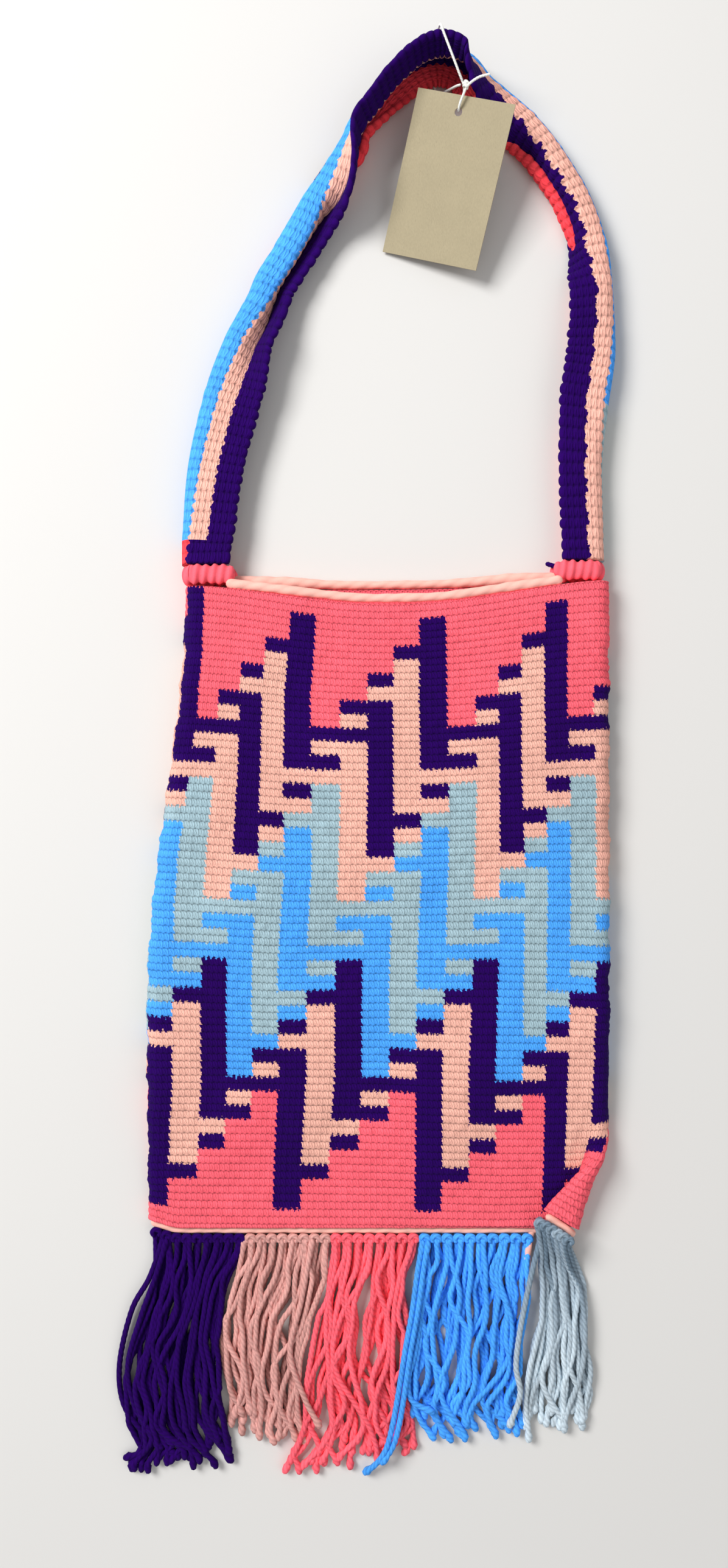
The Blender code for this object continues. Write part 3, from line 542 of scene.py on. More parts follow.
def runs_along(paths):
    """How far along its path each point is: the running sum of the gaps between the points."""
    gaps = np.linalg.norm(np.diff(paths, axis=1), axis=2)
    return np.concatenate([np.zeros((len(paths), 1)), np.cumsum(gaps, axis=1)], axis=1)


def carry_frame(paths):
    """The unit tangent, side and upward directions along each path. The side starts level and is
    carried along without twist: at each point it loses its part along the tangent."""
    tangent = np.gradient(paths, axis=1)
    tangent /= np.linalg.norm(tangent, axis=2, keepdims=True)
    carried = np.cross(tangent[:, 0], (0.0, 0.02, 1.0))
    side = np.empty_like(tangent)
    for row in range(paths.shape[1]):
        along = tangent[:, row]
        carried = carried - (carried * along).sum(axis=1, keepdims=True) * along
        carried /= np.linalg.norm(carried, axis=1, keepdims=True)
        side[:, row] = carried
    return tangent, side, np.cross(side, tangent)


def yarn_block(paths, radius, turn, sides=9, plies=3, lobe=0.08, first=0):
    """Twisted yarns along N paths, shaped (N, rows, 3). At angle a round the yarn and at run s
    along it the surface stands off the path by radius (1 + lobe cos(plies (a - 2 pi s / turn))).
    Each end closes as a dome."""
    count, rows = paths.shape[:2]
    tangent, side, up = carry_frame(paths)
    run = runs_along(paths)
    radius = np.broadcast_to(radius, (count, rows)).astype(float)
    dome = np.radians(DOME_ANGLES)
    centres, radii, runs, sides_at, ups_at = [], [], [], [], []
    for end, sign, angles in ((0, -1.0, dome), (-1, 1.0, dome[::-1])):
        reach = radius[:, end, None] * np.sin(angles)
        centres.append(paths[:, end, None] + sign * reach[..., None] * tangent[:, end, None])
        radii.append(radius[:, end, None] * np.cos(angles))
        runs.append(run[:, end, None] + sign * reach)
        sides_at.append(np.repeat(side[:, end, None], len(dome), axis=1))
        ups_at.append(np.repeat(up[:, end, None], len(dome), axis=1))
    centre, radius, run, side, up = (
        np.concatenate([ends[0], middle, ends[1]], axis=1)
        for ends, middle in ((centres, paths), (radii, radius), (runs, run), (sides_at, side),
                             (ups_at, up)))
    angle = 2 * math.pi * np.arange(sides) / sides
    lobes = 1.0 + lobe * np.cos(plies * (angle - 2 * math.pi * run[..., None] / turn))
    stand = (radius[..., None] * lobes)[..., None]
    points = centre[:, :, None] + stand * (np.cos(angle)[:, None] * side[:, :, None]
                                           + np.sin(angle)[:, None] * up[:, :, None])
    share = np.arange(sides + 1) / sides
    u = first + np.arange(count)[:, None, None] + STRAND_MARGIN + (1 - 2 * STRAND_MARGIN) * share
    return grid_block(points, u, (run / turn)[..., None])


# Body


def tapered(t, at_base, at_mouth):
    """A value at t, from the base (0) to the mouth (1): the base's own up to the taper's start,
    and from there a smooth rise to the mouth's."""
    return at_base + (at_mouth - at_base) * smooth((t - TAPER_START) / (1.0 - TAPER_START))


def half_width(t):
    """Half of the body's width at t."""
    return tapered(t, BASE_WIDTH, MOUTH_WIDTH) / 2


def centre_x(t):
    """The middle of the body's width at t."""
    return tapered(t, BASE_CENTRE_X, MOUTH_CENTRE_X)


def thickness(t):
    """The body's thickness over both layers at t."""
    return BASE_THICKNESS + (BODY_THICKNESS - BASE_THICKNESS) * smooth(t / THICKENING_END)


def row_y(t, across, height_share):
    """The row's y at t. It sags in the middle of the front layer's mouth and rises at the base's
    corners."""
    sag = MOUTH_SAG * (1.0 - across ** 2) ** 2 * height_share * t ** 2
    tilt = MOUTH_TILT * across * t ** 2
    corner = BASE_CORNER_RISE * smooth((np.abs(across) - 0.86) / 0.14) * (1.0 - smooth(t / 0.08))
    return BASE_Y + BODY_LENGTH * t - sag + tilt + corner


def fold_distance(x, y):
    """How far a point lies past the fold's line."""
    line_x = FOLD_BASE_X + (y - BASE_Y) * math.tan(FOLD_LEAN)
    return (x - line_x) * math.cos(FOLD_LEAN)


def fold(points):
    """Roll what lies past the fold's line up and over the front. The roll keeps the fabric's
    length: distance d past the line becomes the angle d / radius up to half a turn, and the rest
    runs back level, stretched by the pull toward the base's corner."""
    x, y, z = points[..., 0], points[..., 1], points[..., 2]
    layers = thickness((y - BASE_Y) / BODY_LENGTH)
    tight = layers / 2 + FOLD_GAP / 2
    fade = 1.0 - smooth((y - FOLD_FULL_Y) / (FOLD_END_Y - FOLD_FULL_Y))
    distance = fold_distance(x, y)
    moved = (distance > 0.0) & (fade > 0.01)
    radius = tight / np.where(fade > 0.01, fade, 1.0)
    angle = np.minimum(distance / radius, math.pi)
    pull = 1.0 + FLAP_PULL * (1.0 - smooth((y - BASE_Y) / (FOLD_END_Y - BASE_Y)))
    beyond = np.maximum(distance - math.pi * radius, 0.0) * pull
    height = z - layers / 2
    rolled = (radius - height) * np.sin(angle) - beyond
    raised = layers / 2 + radius - (radius - height) * np.cos(angle)
    shift = np.where(moved, rolled - distance, 0.0)
    return np.stack([x + shift * math.cos(FOLD_LEAN), y - shift * math.sin(FOLD_LEAN),
                     np.where(moved, raised, z)], axis=-1)


def flat_tube(t, share, stand_off):
    """Points of the flattened tube at t, from the base (0) to the mouth (1). The share runs once
    round it: from the left edge over the front to the right edge at one half, and back below. A
    half is a quarter turn of radius thickness / 2, a level run and another quarter turn. The
    points stand off the tube by stand_off along its normal."""
    layers, half = thickness(t), half_width(t)
    radius = layers / 2
    arc, level = math.pi * radius / 2, 2 * half - layers
    front = share < 0.5
    walked = np.where(front, 2 * share, 2 * (1 - share)) * (2 * arc + level)
    angle = math.pi - np.clip(walked / arc, 0.0, 1.0) * math.pi / 2
    angle = angle - np.clip((walked - arc - level) / arc, 0.0, 1.0) * math.pi / 2
    straight = np.clip(walked - arc, 0.0, level)
    sign = np.where(front, 1.0, -1.0)
    x = centre_x(t) - half + radius + straight + (radius + stand_off) * np.cos(angle)
    z = radius + sign * (radius + stand_off) * np.sin(angle)
    across = np.clip((x - centre_x(t)) / half, -1.0, 1.0)
    y = row_y(t, across, BACK_SAG + (1.0 - BACK_SAG) * smooth(2 * z / layers - 0.5))
    return np.stack([x, y, z], axis=-1), np.clip(z / layers, 0.0, 1.0)


def table_at(table, across_knots, up_knots, across, up):
    """A table's value at each place, by straight lines between its knots both ways. Over the back
    the values lead from the right edge's to the left edge's."""
    table = np.array(table, dtype=float)
    table = np.concatenate([table, table[:, :1]], axis=1)
    knots = np.array([*across_knots, STITCHES], dtype=float)
    heights = np.array(up_knots, dtype=float)
    column = np.clip(np.searchsorted(knots, across, side="right") - 1, 0, len(knots) - 2)
    line = np.clip(np.searchsorted(heights, up, side="right") - 1, 0, len(heights) - 2)
    right = np.clip((across - knots[column]) / (knots[column + 1] - knots[column]), 0.0, 1.0)
    high = np.clip((up - heights[line]) / (heights[line + 1] - heights[line]), 0.0, 1.0)
    lower = table[line, column] * (1.0 - right) + table[line, column + 1] * right
    upper = table[line + 1, column] * (1.0 - right) + table[line + 1, column + 1] * right
    return lower * (1.0 - high) + upper * high


def strayed(stitch, row):
    """The fabric's own stitch and row at each place of an even grid."""
    up = row - ROW_OFFSET + 0.5
    return (stitch + table_at(SLIP, SLIP_ACROSS, SLIP_UP, stitch, up),
            row + table_at(RISE, RISE_ACROSS, RISE_UP, stitch, up))


def row_profile(v):
    """A row's round crest: the power 0.6 of the sine of pi v."""
    return np.abs(np.sin(math.pi * v)) ** 0.6


def body_points(size):
    """The body's rings from the base up its outside, over the rim and down its inside.

    A stitch stands off the tube by relief times the row's crest times (0.72 + 0.28 of a cosine
    round the stitch), times a share of its own. The underside is pressed flat, so there the
    relief stays above the floor. The front swells and sinks by a sum of long waves that fades at
    the rim and the base. The rings come with the fabric's stitch and row at each point."""
    columns = STITCHES * SAMPLES_PER_STITCH
    share = (np.arange(columns) / columns)[None, :]
    t = np.linspace(0.0, 1.0, ROWS * SAMPLES_PER_ROW + 1)[:, None]
    stitch, row = strayed(share * STITCHES, ROW_OFFSET + ROWS * t)
    own = own_heights(BODY_SEED, (ROWS + 3, STITCHES), np.floor(row).astype(int) + 1,
                      np.floor(stitch).astype(int) % STITCHES, size.stitch_unevenness, (0.3, 1.6))
    plain, height = flat_tube(t, share, 0.0)
    lump = 0.5 - 0.5 * np.cos(2 * math.pi * stitch)
    relief = size.row_relief * row_profile(row) * (0.72 + 0.28 * lump) * own
    near_fold = smooth((fold_distance(plain[..., 0], plain[..., 1]) + 0.008) / 0.006)
    near_fold = near_fold * (t < THICKENING_END) * smooth(2 * height - 0.5)
    below = 1.0 - smooth(2 * height)
    relief = relief * (1.0 - near_fold)
    relief = relief + (np.minimum(relief, size.row_relief) - relief - size.row_relief) * below
    outer, height = flat_tube(t, share, relief)
    x, y = outer[..., 0], outer[..., 1]
    calm = smooth(t / 0.12) * (1.0 - smooth((t - 0.90) / 0.10)) * (1.0 - near_fold)
    waves = (np.sin(71.0 * x + 2.1 * np.sin(23.0 * y) + 0.4) * 0.5
             + np.sin(97.0 * y + 1.7 * np.sin(31.0 * x) + 1.9) * 0.3
             + np.sin(150.0 * x - 60.0 * y + 0.7) * 0.2)
    outer[..., 2] += size.ripple * waves * calm * smooth(2 * height - 0.9)
    edge = np.abs((x - centre_x(t)) / half_width(t)) ** 6
    side_wave = 0.00045 * np.sin(210.0 * y + 1.0) + 0.0003 * np.sin(530.0 * y)
    outer[..., 0] += side_wave * edge * calm * np.sign(x)
    rim_turn = np.radians(RIM_TURNS)[:, None]
    inset = WALL * (1.0 - np.cos(rim_turn)) / 2
    rim_height = np.ones_like(rim_turn)
    rim = flat_tube(rim_height, share, -inset)[0]
    rim[..., 1] += 0.0002 * np.sin(rim_turn)
    down = np.array(CAVITY_STEPS)[:, None]
    inner = flat_tube(down, share, np.full_like(down, -WALL))[0]
    height_share = np.concatenate([t, rim_height, down])
    closing = (np.arange(columns + 1) / SAMPLES_PER_STITCH)[None, :]
    stitch, row = strayed(closing, ROW_OFFSET + ROWS * height_share)
    return fold(np.concatenate([outer, rim, inner])), stitch, row


def body_block(size):
    """The body as one closed surface: its rings, with each end zipped from front to back."""
    points, stitch, row = body_points(size)
    columns = points.shape[1]
    vertices, faces = grid_block(points[None], stitch, row, caps=False)
    front = np.arange(columns // 2)
    for ring, turned in ((0, True), (len(points) - 1, False)):
        back = (columns - front) % columns
        after = (columns - front - 1) % columns
        strip = ring * columns + np.stack([front, front + 1, after, back], axis=-1)
        places = np.stack([front, front + 1, columns - front - 1, columns - front], axis=-1)
        strip_uv = np.stack([stitch[ring, places], row[ring, places]], axis=-1)
        if turned:
            strip, strip_uv = strip[:, ::-1], strip_uv[:, ::-1]
        faces.append((strip[1:-1], strip_uv[1:-1]))
        for pick in (0, -1):
            kept = [0, 1, 2] if pick == 0 else [0, 1, 3]
            if turned:
                kept = [3 - place for place in kept][::-1]
            faces.append((strip[pick:][:1][:, kept], strip_uv[pick:][:1][:, kept]))
    return vertices, faces


# Band


def strap_ends():
    """The y at which the band leaves its left lashing and meets its right one."""
    reach = BASE_Y + BODY_LENGTH + 2 * JOINT_RADIUS * LASHING_HEIGHT + LASHING_ROOM
    return reach + MOUTH_RISE_LEFT, reach + MOUTH_TILT


def strap_stations(count):
    """Stations evenly spaced along the band's route."""
    start_y, finish_y = strap_ends()
    route = ((STRAP_LEFT_X, start_y, *STRAP_START), *STRAP_ROUTE,
             (STRAP_RIGHT_X, finish_y, *STRAP_FINISH))
    return spread(route, count, axes=2)


def band_middle(stations, thick):
    """The band's middle line across its width at each station, as out, up and heading arrays.

    The heading is level at the coral edge, turns through the station's turn over the bend and
    through its curl over the purple edge, and starts turned back by its roll. The peach stripe
    dips by the station's dip and the purple one stands off by its tilt. Out and up are the
    running sums of the heading's cosine and sine."""
    turn, beyond, curl, roll = (stations[:, column, None] for column in (2, 3, 4, 5))
    dip, tilt = stations[:, 7, None], stations[:, 8, None]
    length = STRAP_BEND_RADIUS * np.radians(turn)
    last = STRAP_WIDTH - beyond
    first = last - length
    roll_length = np.maximum(STRAP_ROLL_RADIUS * np.radians(roll), 1e-6)
    reach = (STRAP_BEND_RADIUS - STRAP_ROLL_RADIUS - thick) - beyond * np.cos(np.radians(turn))
    roll_last = np.maximum(first - np.maximum(reach, 0.002), roll_length)
    run = np.linspace(0.0, STRAP_WIDTH, BAND_COLUMNS * FINE_STEPS + 1)
    edge = STRAP_WIDTH * CURL_SHARE
    heading = np.radians(turn) * np.clip((run - first) / length, 0.0, 1.0)
    heading = heading + np.radians(curl) * smooth((run - STRAP_WIDTH + edge) / edge)
    into_peach = smooth((run - PEACH_BEND[0] + SOONER_PER_DEGREE * dip) / PEACH_BEND[1])
    into_purple = smooth((run - PURPLE_BEND[0]) / PURPLE_BEND[1])
    heading = heading + np.radians(dip) * into_peach * (1.0 - into_purple)
    heading = heading + np.radians(tilt) * into_purple
    tucked = 1.0 - np.clip((run - roll_last + roll_length) / roll_length, 0.0, 1.0)
    heading = heading - np.radians(np.maximum(roll, 0.0)) * tucked
    step = run[1] - run[0]
    zero = np.zeros((len(stations), 1))
    out = np.concatenate([zero, np.cumsum(np.cos(heading[:, :-1]) * step, axis=1)], axis=1)
    up = np.concatenate([zero, np.cumsum(np.sin(heading[:, :-1]) * step, axis=1)], axis=1)
    return (*(line[:, ::FINE_STEPS] for line in (out, up, heading)), run[::FINE_STEPS])


def band_block(size):
    """The band as one closed surface, with its length and its number of rows. At run r across and
    row v along, each face stands off the middle line by half the thickness plus the relief, which
    is the row's crest times a lump for each stitch, less the valleys' depth. The two edges are
    half rounds."""
    length = route_length(strap_stations(400)[:, :2])
    rows = round(length / STRAP_ROW)
    stations = strap_stations(rows * STRAP_SAMPLES_PER_ROW + 1)
    along = np.gradient(stations[:, :2], axis=0)
    along[0], along[-1] = (0.0, 1.0), (0.0, -1.0)
    along /= np.linalg.norm(along, axis=1, keepdims=True)
    out, up, heading, run = band_middle(stations, STRAP_THICKNESS)
    row = np.linspace(0.0, rows, len(stations))[:, None]
    lump = 0.5 - 0.5 * np.cos(2 * math.pi * run / STRAP_STITCH)
    crest = row_profile(row) * own_heights(
        BAND_SEED, (rows + 1, 32), np.floor(row).astype(int),
        np.floor(run / STRAP_STITCH).astype(int), size.stitch_unevenness, (0.4, 1.5))
    relief = size.band_relief * (crest * (0.70 + 0.30 * lump) - BAND_VALLEY)
    half = STRAP_THICKNESS / 2 + relief
    normal_out, normal_up = np.sin(heading), -np.cos(heading)
    turns = np.radians(EDGE_TURNS)
    pieces_out, pieces_up, pieces_u = [], [], []
    for sign, end, order in ((1.0, -1, slice(None)), (-1.0, 0, slice(None, None, -1))):
        pieces_out.append((out + sign * half * normal_out)[:, order])
        pieces_up.append((up + sign * half * normal_up)[:, order])
        pieces_u.append(np.broadcast_to(run[order], out.shape))
        tip = half[:, end, None]
        bulge = tip + 0.0005 * crest[:, end, None]
        round_out = sign * np.cos(turns) * tip * normal_out[:, end, None]
        round_up = sign * np.cos(turns) * tip * normal_up[:, end, None]
        reach = sign * np.sin(turns) * bulge
        pieces_out.append(out[:, end, None] + round_out + reach * np.cos(heading[:, end, None]))
        pieces_up.append(up[:, end, None] + round_up + reach * np.sin(heading[:, end, None]))
        pieces_u.append(np.full((len(out), len(turns)), run[end]))
    ring_out, ring_up = np.concatenate(pieces_out, axis=1), np.concatenate(pieces_up, axis=1)
    ring_u = np.concatenate(pieces_u, axis=1)
    ring_out = ring_out - ring_out.max(axis=1, keepdims=True)
    thickest = STRAP_THICKNESS / 2 + (1.0 - BAND_VALLEY) * size.band_relief
    lowest = (up - thickest * np.cos(heading)).min(axis=1, keepdims=True)
    ring_up = np.maximum(ring_up - lowest, 0.0)
    level = np.stack([-along[:, 1], along[:, 0]], axis=1)
    points = np.concatenate([
        stations[:, None, :2] + ring_out[..., None] * level[:, None],
        (ring_up + np.maximum(stations[:, 6, None], 0.0))[..., None]], axis=2)
    u = np.concatenate([ring_u, ring_u[:, :1]], axis=1) / STRAP_STITCH
    return grid_block(points[None], u[None], row[None]), length, rows


# Edgings, lashings, fringe


def rim_y(x, height_share):
    """The y of the mouth's rim at x on the front (1) or the back (0), between its columns."""
    left, right = MOUTH_CENTRE_X - MOUTH_WIDTH / 2, MOUTH_CENTRE_X + MOUTH_WIDTH / 2
    bend = BODY_THICKNESS / 2
    columns = np.array([left + bend] + [left + share * MOUTH_WIDTH for share in FRONT_COLUMNS]
                       + [right - bend])
    return np.interp(x, columns, row_y(1.0, (columns - MOUTH_CENTRE_X) / (MOUTH_WIDTH / 2),
                                       height_share))


def base_line(first_x, last_x, count, below):
    """Points along the base from one x to another, a distance below it, before the fold."""
    places = np.linspace(first_x, last_x, count)
    across = np.clip((places - BASE_CENTRE_X) / (BASE_WIDTH / 2), -1.0, 1.0)
    y = row_y(0.0, across, 1.0) - below
    return np.stack([places, y, np.full_like(places, BASE_THICKNESS / 2)], axis=1)


def edging_paths():
    """The routes of the four edging yarns, by piece."""
    first_x = STRAP_LEFT_X + JOINT_REACH_LEFT + JOINT_GAP
    last_x = STRAP_RIGHT_X - JOINT_REACH_RIGHT - JOINT_GAP
    places = np.linspace(first_x, last_x, 160)
    paths = {}
    for label, height, share in (("front", BODY_THICKNESS - WALL / 2, 1.0),
                                 ("back", 1.12 * MOUTH_EDGING_RADIUS, BACK_SAG)):
        rim = rim_y(places, share)
        rounded = np.convolve(np.pad(rim, RIM_SMOOTHING // 2, mode="edge"),
                              np.ones(RIM_SMOOTHING) / RIM_SMOOTHING, mode="valid")
        y = np.maximum(rounded, rim) + 2 * SEAT_GAP + MOUTH_EDGING_RADIUS
        paths["mouth_edging_" + label] = np.stack([places, y, np.full_like(places, height)], 1)
    below = 1.5 * SEAT_GAP + BASE_EDGING_RADIUS
    left = BASE_CENTRE_X - BASE_WIDTH / 2 + 0.003
    right = BASE_CENTRE_X + BASE_WIDTH / 2 - 0.003
    line = np.vstack([base_line(left, left + 0.016, 5, below),
                      base_line(left + 0.030, FOLD_BASE_X - 0.006, 6, below),
                      base_line(FOLD_BASE_X, right, 11, below + FOLD_CLEARANCE)])
    paths["base_edging"] = spread(fold(line), 240)
    start = np.array((EDGING_TAIL_X, BASE_Y - below - BASE_EDGING_RADIUS - SEAT_GAP, 0.0))
    height = BASE_THICKNESS / 2
    tail = ((0, 0, height + 0.0006), (-0.0006, -0.004, height + 0.0002), (-0.0016, -0.009, 0.0048),
            (-0.0022, -0.014, 0.0046), (-0.0026, -EDGING_TAIL_LENGTH, 0.0046))
    paths["edging_tail"] = spread(start + np.array(tail), 18)
    return paths


def lashing_path(outer_x, sign, reach, tilt):
    """The C of one lashing round the side of the mouth: in below, round the edge and in above. Its
    middle is 1.18 radii over the floor and 0.9 below the mouth's top."""
    low, high = 1.18 * JOINT_RADIUS, BODY_THICKNESS - 0.9 * JOINT_RADIUS
    radius = (high - low) / 2
    turn_x = outer_x - sign * (JOINT_RADIUS + radius)
    y = BASE_Y + BODY_LENGTH + tilt + SEAT_GAP + JOINT_RADIUS
    angle = np.radians(np.linspace(-90.0, 90.0, 9))
    bend = np.stack([turn_x + sign * radius * np.cos(angle), np.full(9, y),
                     low + radius * (1 + np.sin(angle))], axis=1)
    inner_x = outer_x - sign * reach
    return spread(np.vstack([[(inner_x, y, low)], bend, [(inner_x, y, high)]]), 190)


def strand_paths(tops, count, tip_left, tip_right, edges, size, seed):
    """Strands of one colour, layer over layer, from their knots to their tips.

    The edges give the group's left and right sides at some heights. A strand's place between
    them leaves its knot's, settles to the strand's own, drifts by two waves, curls by a third one
    further down and hooks at its tip. Its height falls from the knot to its own layer, and toward
    the floor over the last quarter."""
    rng = np.random.default_rng(seed)
    knots = len(tops)
    own = np.clip((np.arange(count) + 0.5) / count + rng.normal(0.0, 0.012, count), 0.01, 0.99)
    knot = np.minimum((own * knots).astype(int), knots - 1)
    top = tops[knot]
    top[:, 0] += (own * knots - knot - 0.5) * KNOT_WIDTH
    layer = rng.permutation(np.arange(count) % size.strand_layers)[:, None]
    share = np.linspace(0.0, 1.0, STRAND_POINTS)[None, :]
    end_y = tip_left + (tip_right - tip_left) * own + rng.uniform(-TIP_SPREAD, TIP_SPREAD, count)
    y = top[:, 1:2] + (end_y[:, None] - top[:, 1:2]) * share
    levels, left, right = np.array(edges)[::-1].T
    left, right = np.interp(y, levels, left), np.interp(y, levels, right)
    phase = rng.uniform(0.0, 2 * math.pi, (2, count, 1))

    def wave(height, turns, start):
        """One wave along each strand, with a height of its own."""
        return rng.normal(0.0, height, (count, 1)) * np.sin(2 * math.pi * turns * share + start)

    drift = wave(0.090, 0.9, phase[0]) + wave(0.030, 3.1, phase[1])
    drift = drift + wave(0.030, 2.3, phase[1]) * smooth((share - 0.35) / 0.5)
    hook = rng.normal(0.0, 0.09, (count, 1)) * smooth((share - 0.80) / 0.20) ** 2
    place = np.clip(own[:, None] + drift * smooth(share * 3.0) + hook, 0.0, 1.0)
    edge = size.strand_radius
    spot = left + edge + (right - left - 2 * edge) * place
    x = top[:, :1] + (spot - top[:, :1]) * smooth(share * 5.0)
    low = edge * LOWEST_LAYER
    fall = 1.0 - 0.6 * smooth((share - 0.72) / 0.28)
    start = np.maximum(top[:, 2:] + (layer - 1) * 0.0012, low)
    z = start + (low + layer * LAYER_STEP * edge * fall - start) * smooth(share * 4.0)
    return np.stack([x, y, z], axis=-1)


def strand_radii(paths, radius):
    """Radii along the strands: a knot at the top and one at the tip, each a bell curve over the
    yarn."""
    run = runs_along(paths)
    knots = (fuller * np.exp(-((distance - place) / length) ** 2)
             for distance, (fuller, place, length) in ((run, TOP_KNOT),
                                                       (run[:, -1:] - run, TIP_KNOT)))
    return radius * (1.0 + sum(knots))


def knot_arches(tops):
    """The loop over the top of each knot: more than half a ring that opens downward, in x and y."""
    wide, high, deep, sunk, raised = ARCH
    angle = np.radians(np.linspace(-35.0, 215.0, 15))
    ring = np.stack([wide * np.cos(angle), high * np.sin(angle) - sunk,
                     raised + deep * np.sin(angle)], axis=1)
    return tops[:, None] + ring[None]


def string_knot():
    """The tag string's knot: a coil round its middle. Its radius swells by the sine of one and a
    half times the angle, and over the coil's whole run its middle moves on in x and y."""
    angle = np.linspace(0.0, KNOT_TURNS * 2 * math.pi, 60)
    ring = 0.00125 + 0.00025 * np.sin(1.5 * angle)
    along = angle / angle[-1] - 0.5
    return np.array(STRING_KNOT) + np.stack(
        [0.0006 * along + 0.9 * ring * np.cos(angle),
         0.0028 * along - 0.35 * ring * np.cos(angle), ring * np.sin(angle)], axis=1)


# Materials


class Level:
    """A number in a node tree. Its sums with levels and plain numbers are Math nodes."""

    def __init__(self, tree, socket):
        self.tree, self.socket = tree, socket

    def put(self, operation, *terms):
        """One Math node on this level and the terms after it."""
        return put_sum(self.tree, operation, self, *terms)

    def times(self, factor, plus):
        """This level times a factor, plus a term."""
        return self.put("MULTIPLY_ADD", factor, plus)

    def __add__(self, term):
        return self.put("ADD", term)

    def __sub__(self, term):
        return self.put("SUBTRACT", term)

    def __rsub__(self, term):
        return put_sum(self.tree, "SUBTRACT", term, self)

    def __mul__(self, term):
        return self.put("MULTIPLY", term)

    def __truediv__(self, term):
        return self.put("DIVIDE", term)

    def __pow__(self, term):
        return self.put("POWER", term)

    def __lt__(self, term):
        return self.put("LESS_THAN", term)

    def __gt__(self, term):
        return self.put("GREATER_THAN", term)


def feed(tree, socket, value):
    """Link a node's input to a level or a socket, or set it to a plain value."""
    value = getattr(value, "socket", value)
    if isinstance(value, bpy.types.NodeSocket):
        tree.links.new(value, socket)
    else:
        socket.default_value = value


def put_sum(tree, operation, *terms):
    """One Math node on levels and numbers, as a level."""
    made = tree.nodes.new("ShaderNodeMath")
    made.operation = operation
    for socket, term in zip(made.inputs, terms):
        feed(tree, socket, term)
    return Level(tree, made.outputs[0])


def put_node(tree, kind, **values):
    """A node with its settings, and with its inputs set or linked by name."""
    made = tree.nodes.new(kind)
    for name, value in values.items():
        if name in made.inputs:
            feed(tree, made.inputs[name], value)
        else:
            setattr(made, name, value)
    return made


def put_level(tree, kind, **values):
    """The first output of a new node, as a level."""
    return Level(tree, put_node(tree, kind, **values).outputs[0])


def put_noise(tree, place, scale, detail, roughness=0.5):
    """A noise texture over a place, as a level."""
    return put_level(tree, "ShaderNodeTexNoise", Vector=place, Scale=scale, Detail=detail,
                     Roughness=roughness)


def put_group(tree, group, **values):
    """A group with its inputs set or linked by name, as the levels of its outputs."""
    made = put_node(tree, "ShaderNodeGroup", node_tree=group, **values)
    return {item.name: Level(tree, item) for item in made.outputs}


def object_place(tree):
    """The place of a point in the object's own lengths."""
    return tree.nodes.new("ShaderNodeTexCoord").outputs["Object"]


def blend_colour(tree, how, share, first, second):
    """A colour mixed from two, each a socket or a colour, by a share."""
    made = tree.nodes.new("ShaderNodeMix")
    made.data_type = "RGBA"
    made.blend_type = how
    sockets = [item for item in made.inputs if item.enabled]
    for socket, value in zip(sockets, (share, first, second)):
        feed(tree, socket, value)
    return next(item for item in made.outputs if item.enabled)


def shade_colour(tree, colour, level):
    """A colour multiplied by a level of grey."""
    grey = put_level(tree, "ShaderNodeCombineColor", Red=level, Green=level, Blue=level)
    return blend_colour(tree, "MULTIPLY", 1.0, colour, grey)


def new_group(name, outputs, **inputs):
    """An empty node group, the node that takes its outputs, and its inputs as levels. A socket
    named Colour holds a colour, and any other a number."""
    tree = bpy.data.node_groups.new(name, "ShaderNodeTree")
    for label, default in inputs.items():
        kind = "NodeSocketColor" if label == "Colour" else "NodeSocketFloat"
        tree.interface.new_socket(label, in_out="INPUT", socket_type=kind).default_value = default
    for label in outputs:
        kind = "NodeSocketColor" if label == "Colour" else "NodeSocketFloat"
        tree.interface.new_socket(label, in_out="OUTPUT", socket_type=kind)
    start = tree.nodes.new("NodeGroupInput")
    levels = (Level(tree, start.outputs[label]) for label in inputs)
    return (tree, tree.nodes.new("NodeGroupOutput"), *levels)


def dyed_fibre_group():
    """Soft unevenness of dyed wool: fine fibres, small blotches and wide clouds over a colour, and
    a level from outside that holds streaks and painted shade. The fibres' height goes out too."""
    name = "dyed fibres"
    if name in bpy.data.node_groups:
        return bpy.data.node_groups[name]
    tree, end, colour, streak_and_painted_shade, unevenness = new_group(
        name, ("Colour", "Height"), Colour=(0.8, 0.8, 0.8, 1.0), Streak=0.0, Unevenness=1.0)
    place, level, noises = object_place(tree), 1.0, []
    for scale, detail, roughness, amount in FIBRE_TEXTURES:
        noises.append(put_noise(tree, place, scale, detail, roughness))
        level = (noises[-1] - 0.5).times(amount, level)
    # The streak level from outside also holds painted shade and highlight from the relief
    level = (level + streak_and_painted_shade - 1.0).times(unevenness, 1.0)
    feed(tree, end.inputs["Colour"], shade_colour(tree, colour, level))
    feed(tree, end.inputs["Height"], noises[0])
    return tree


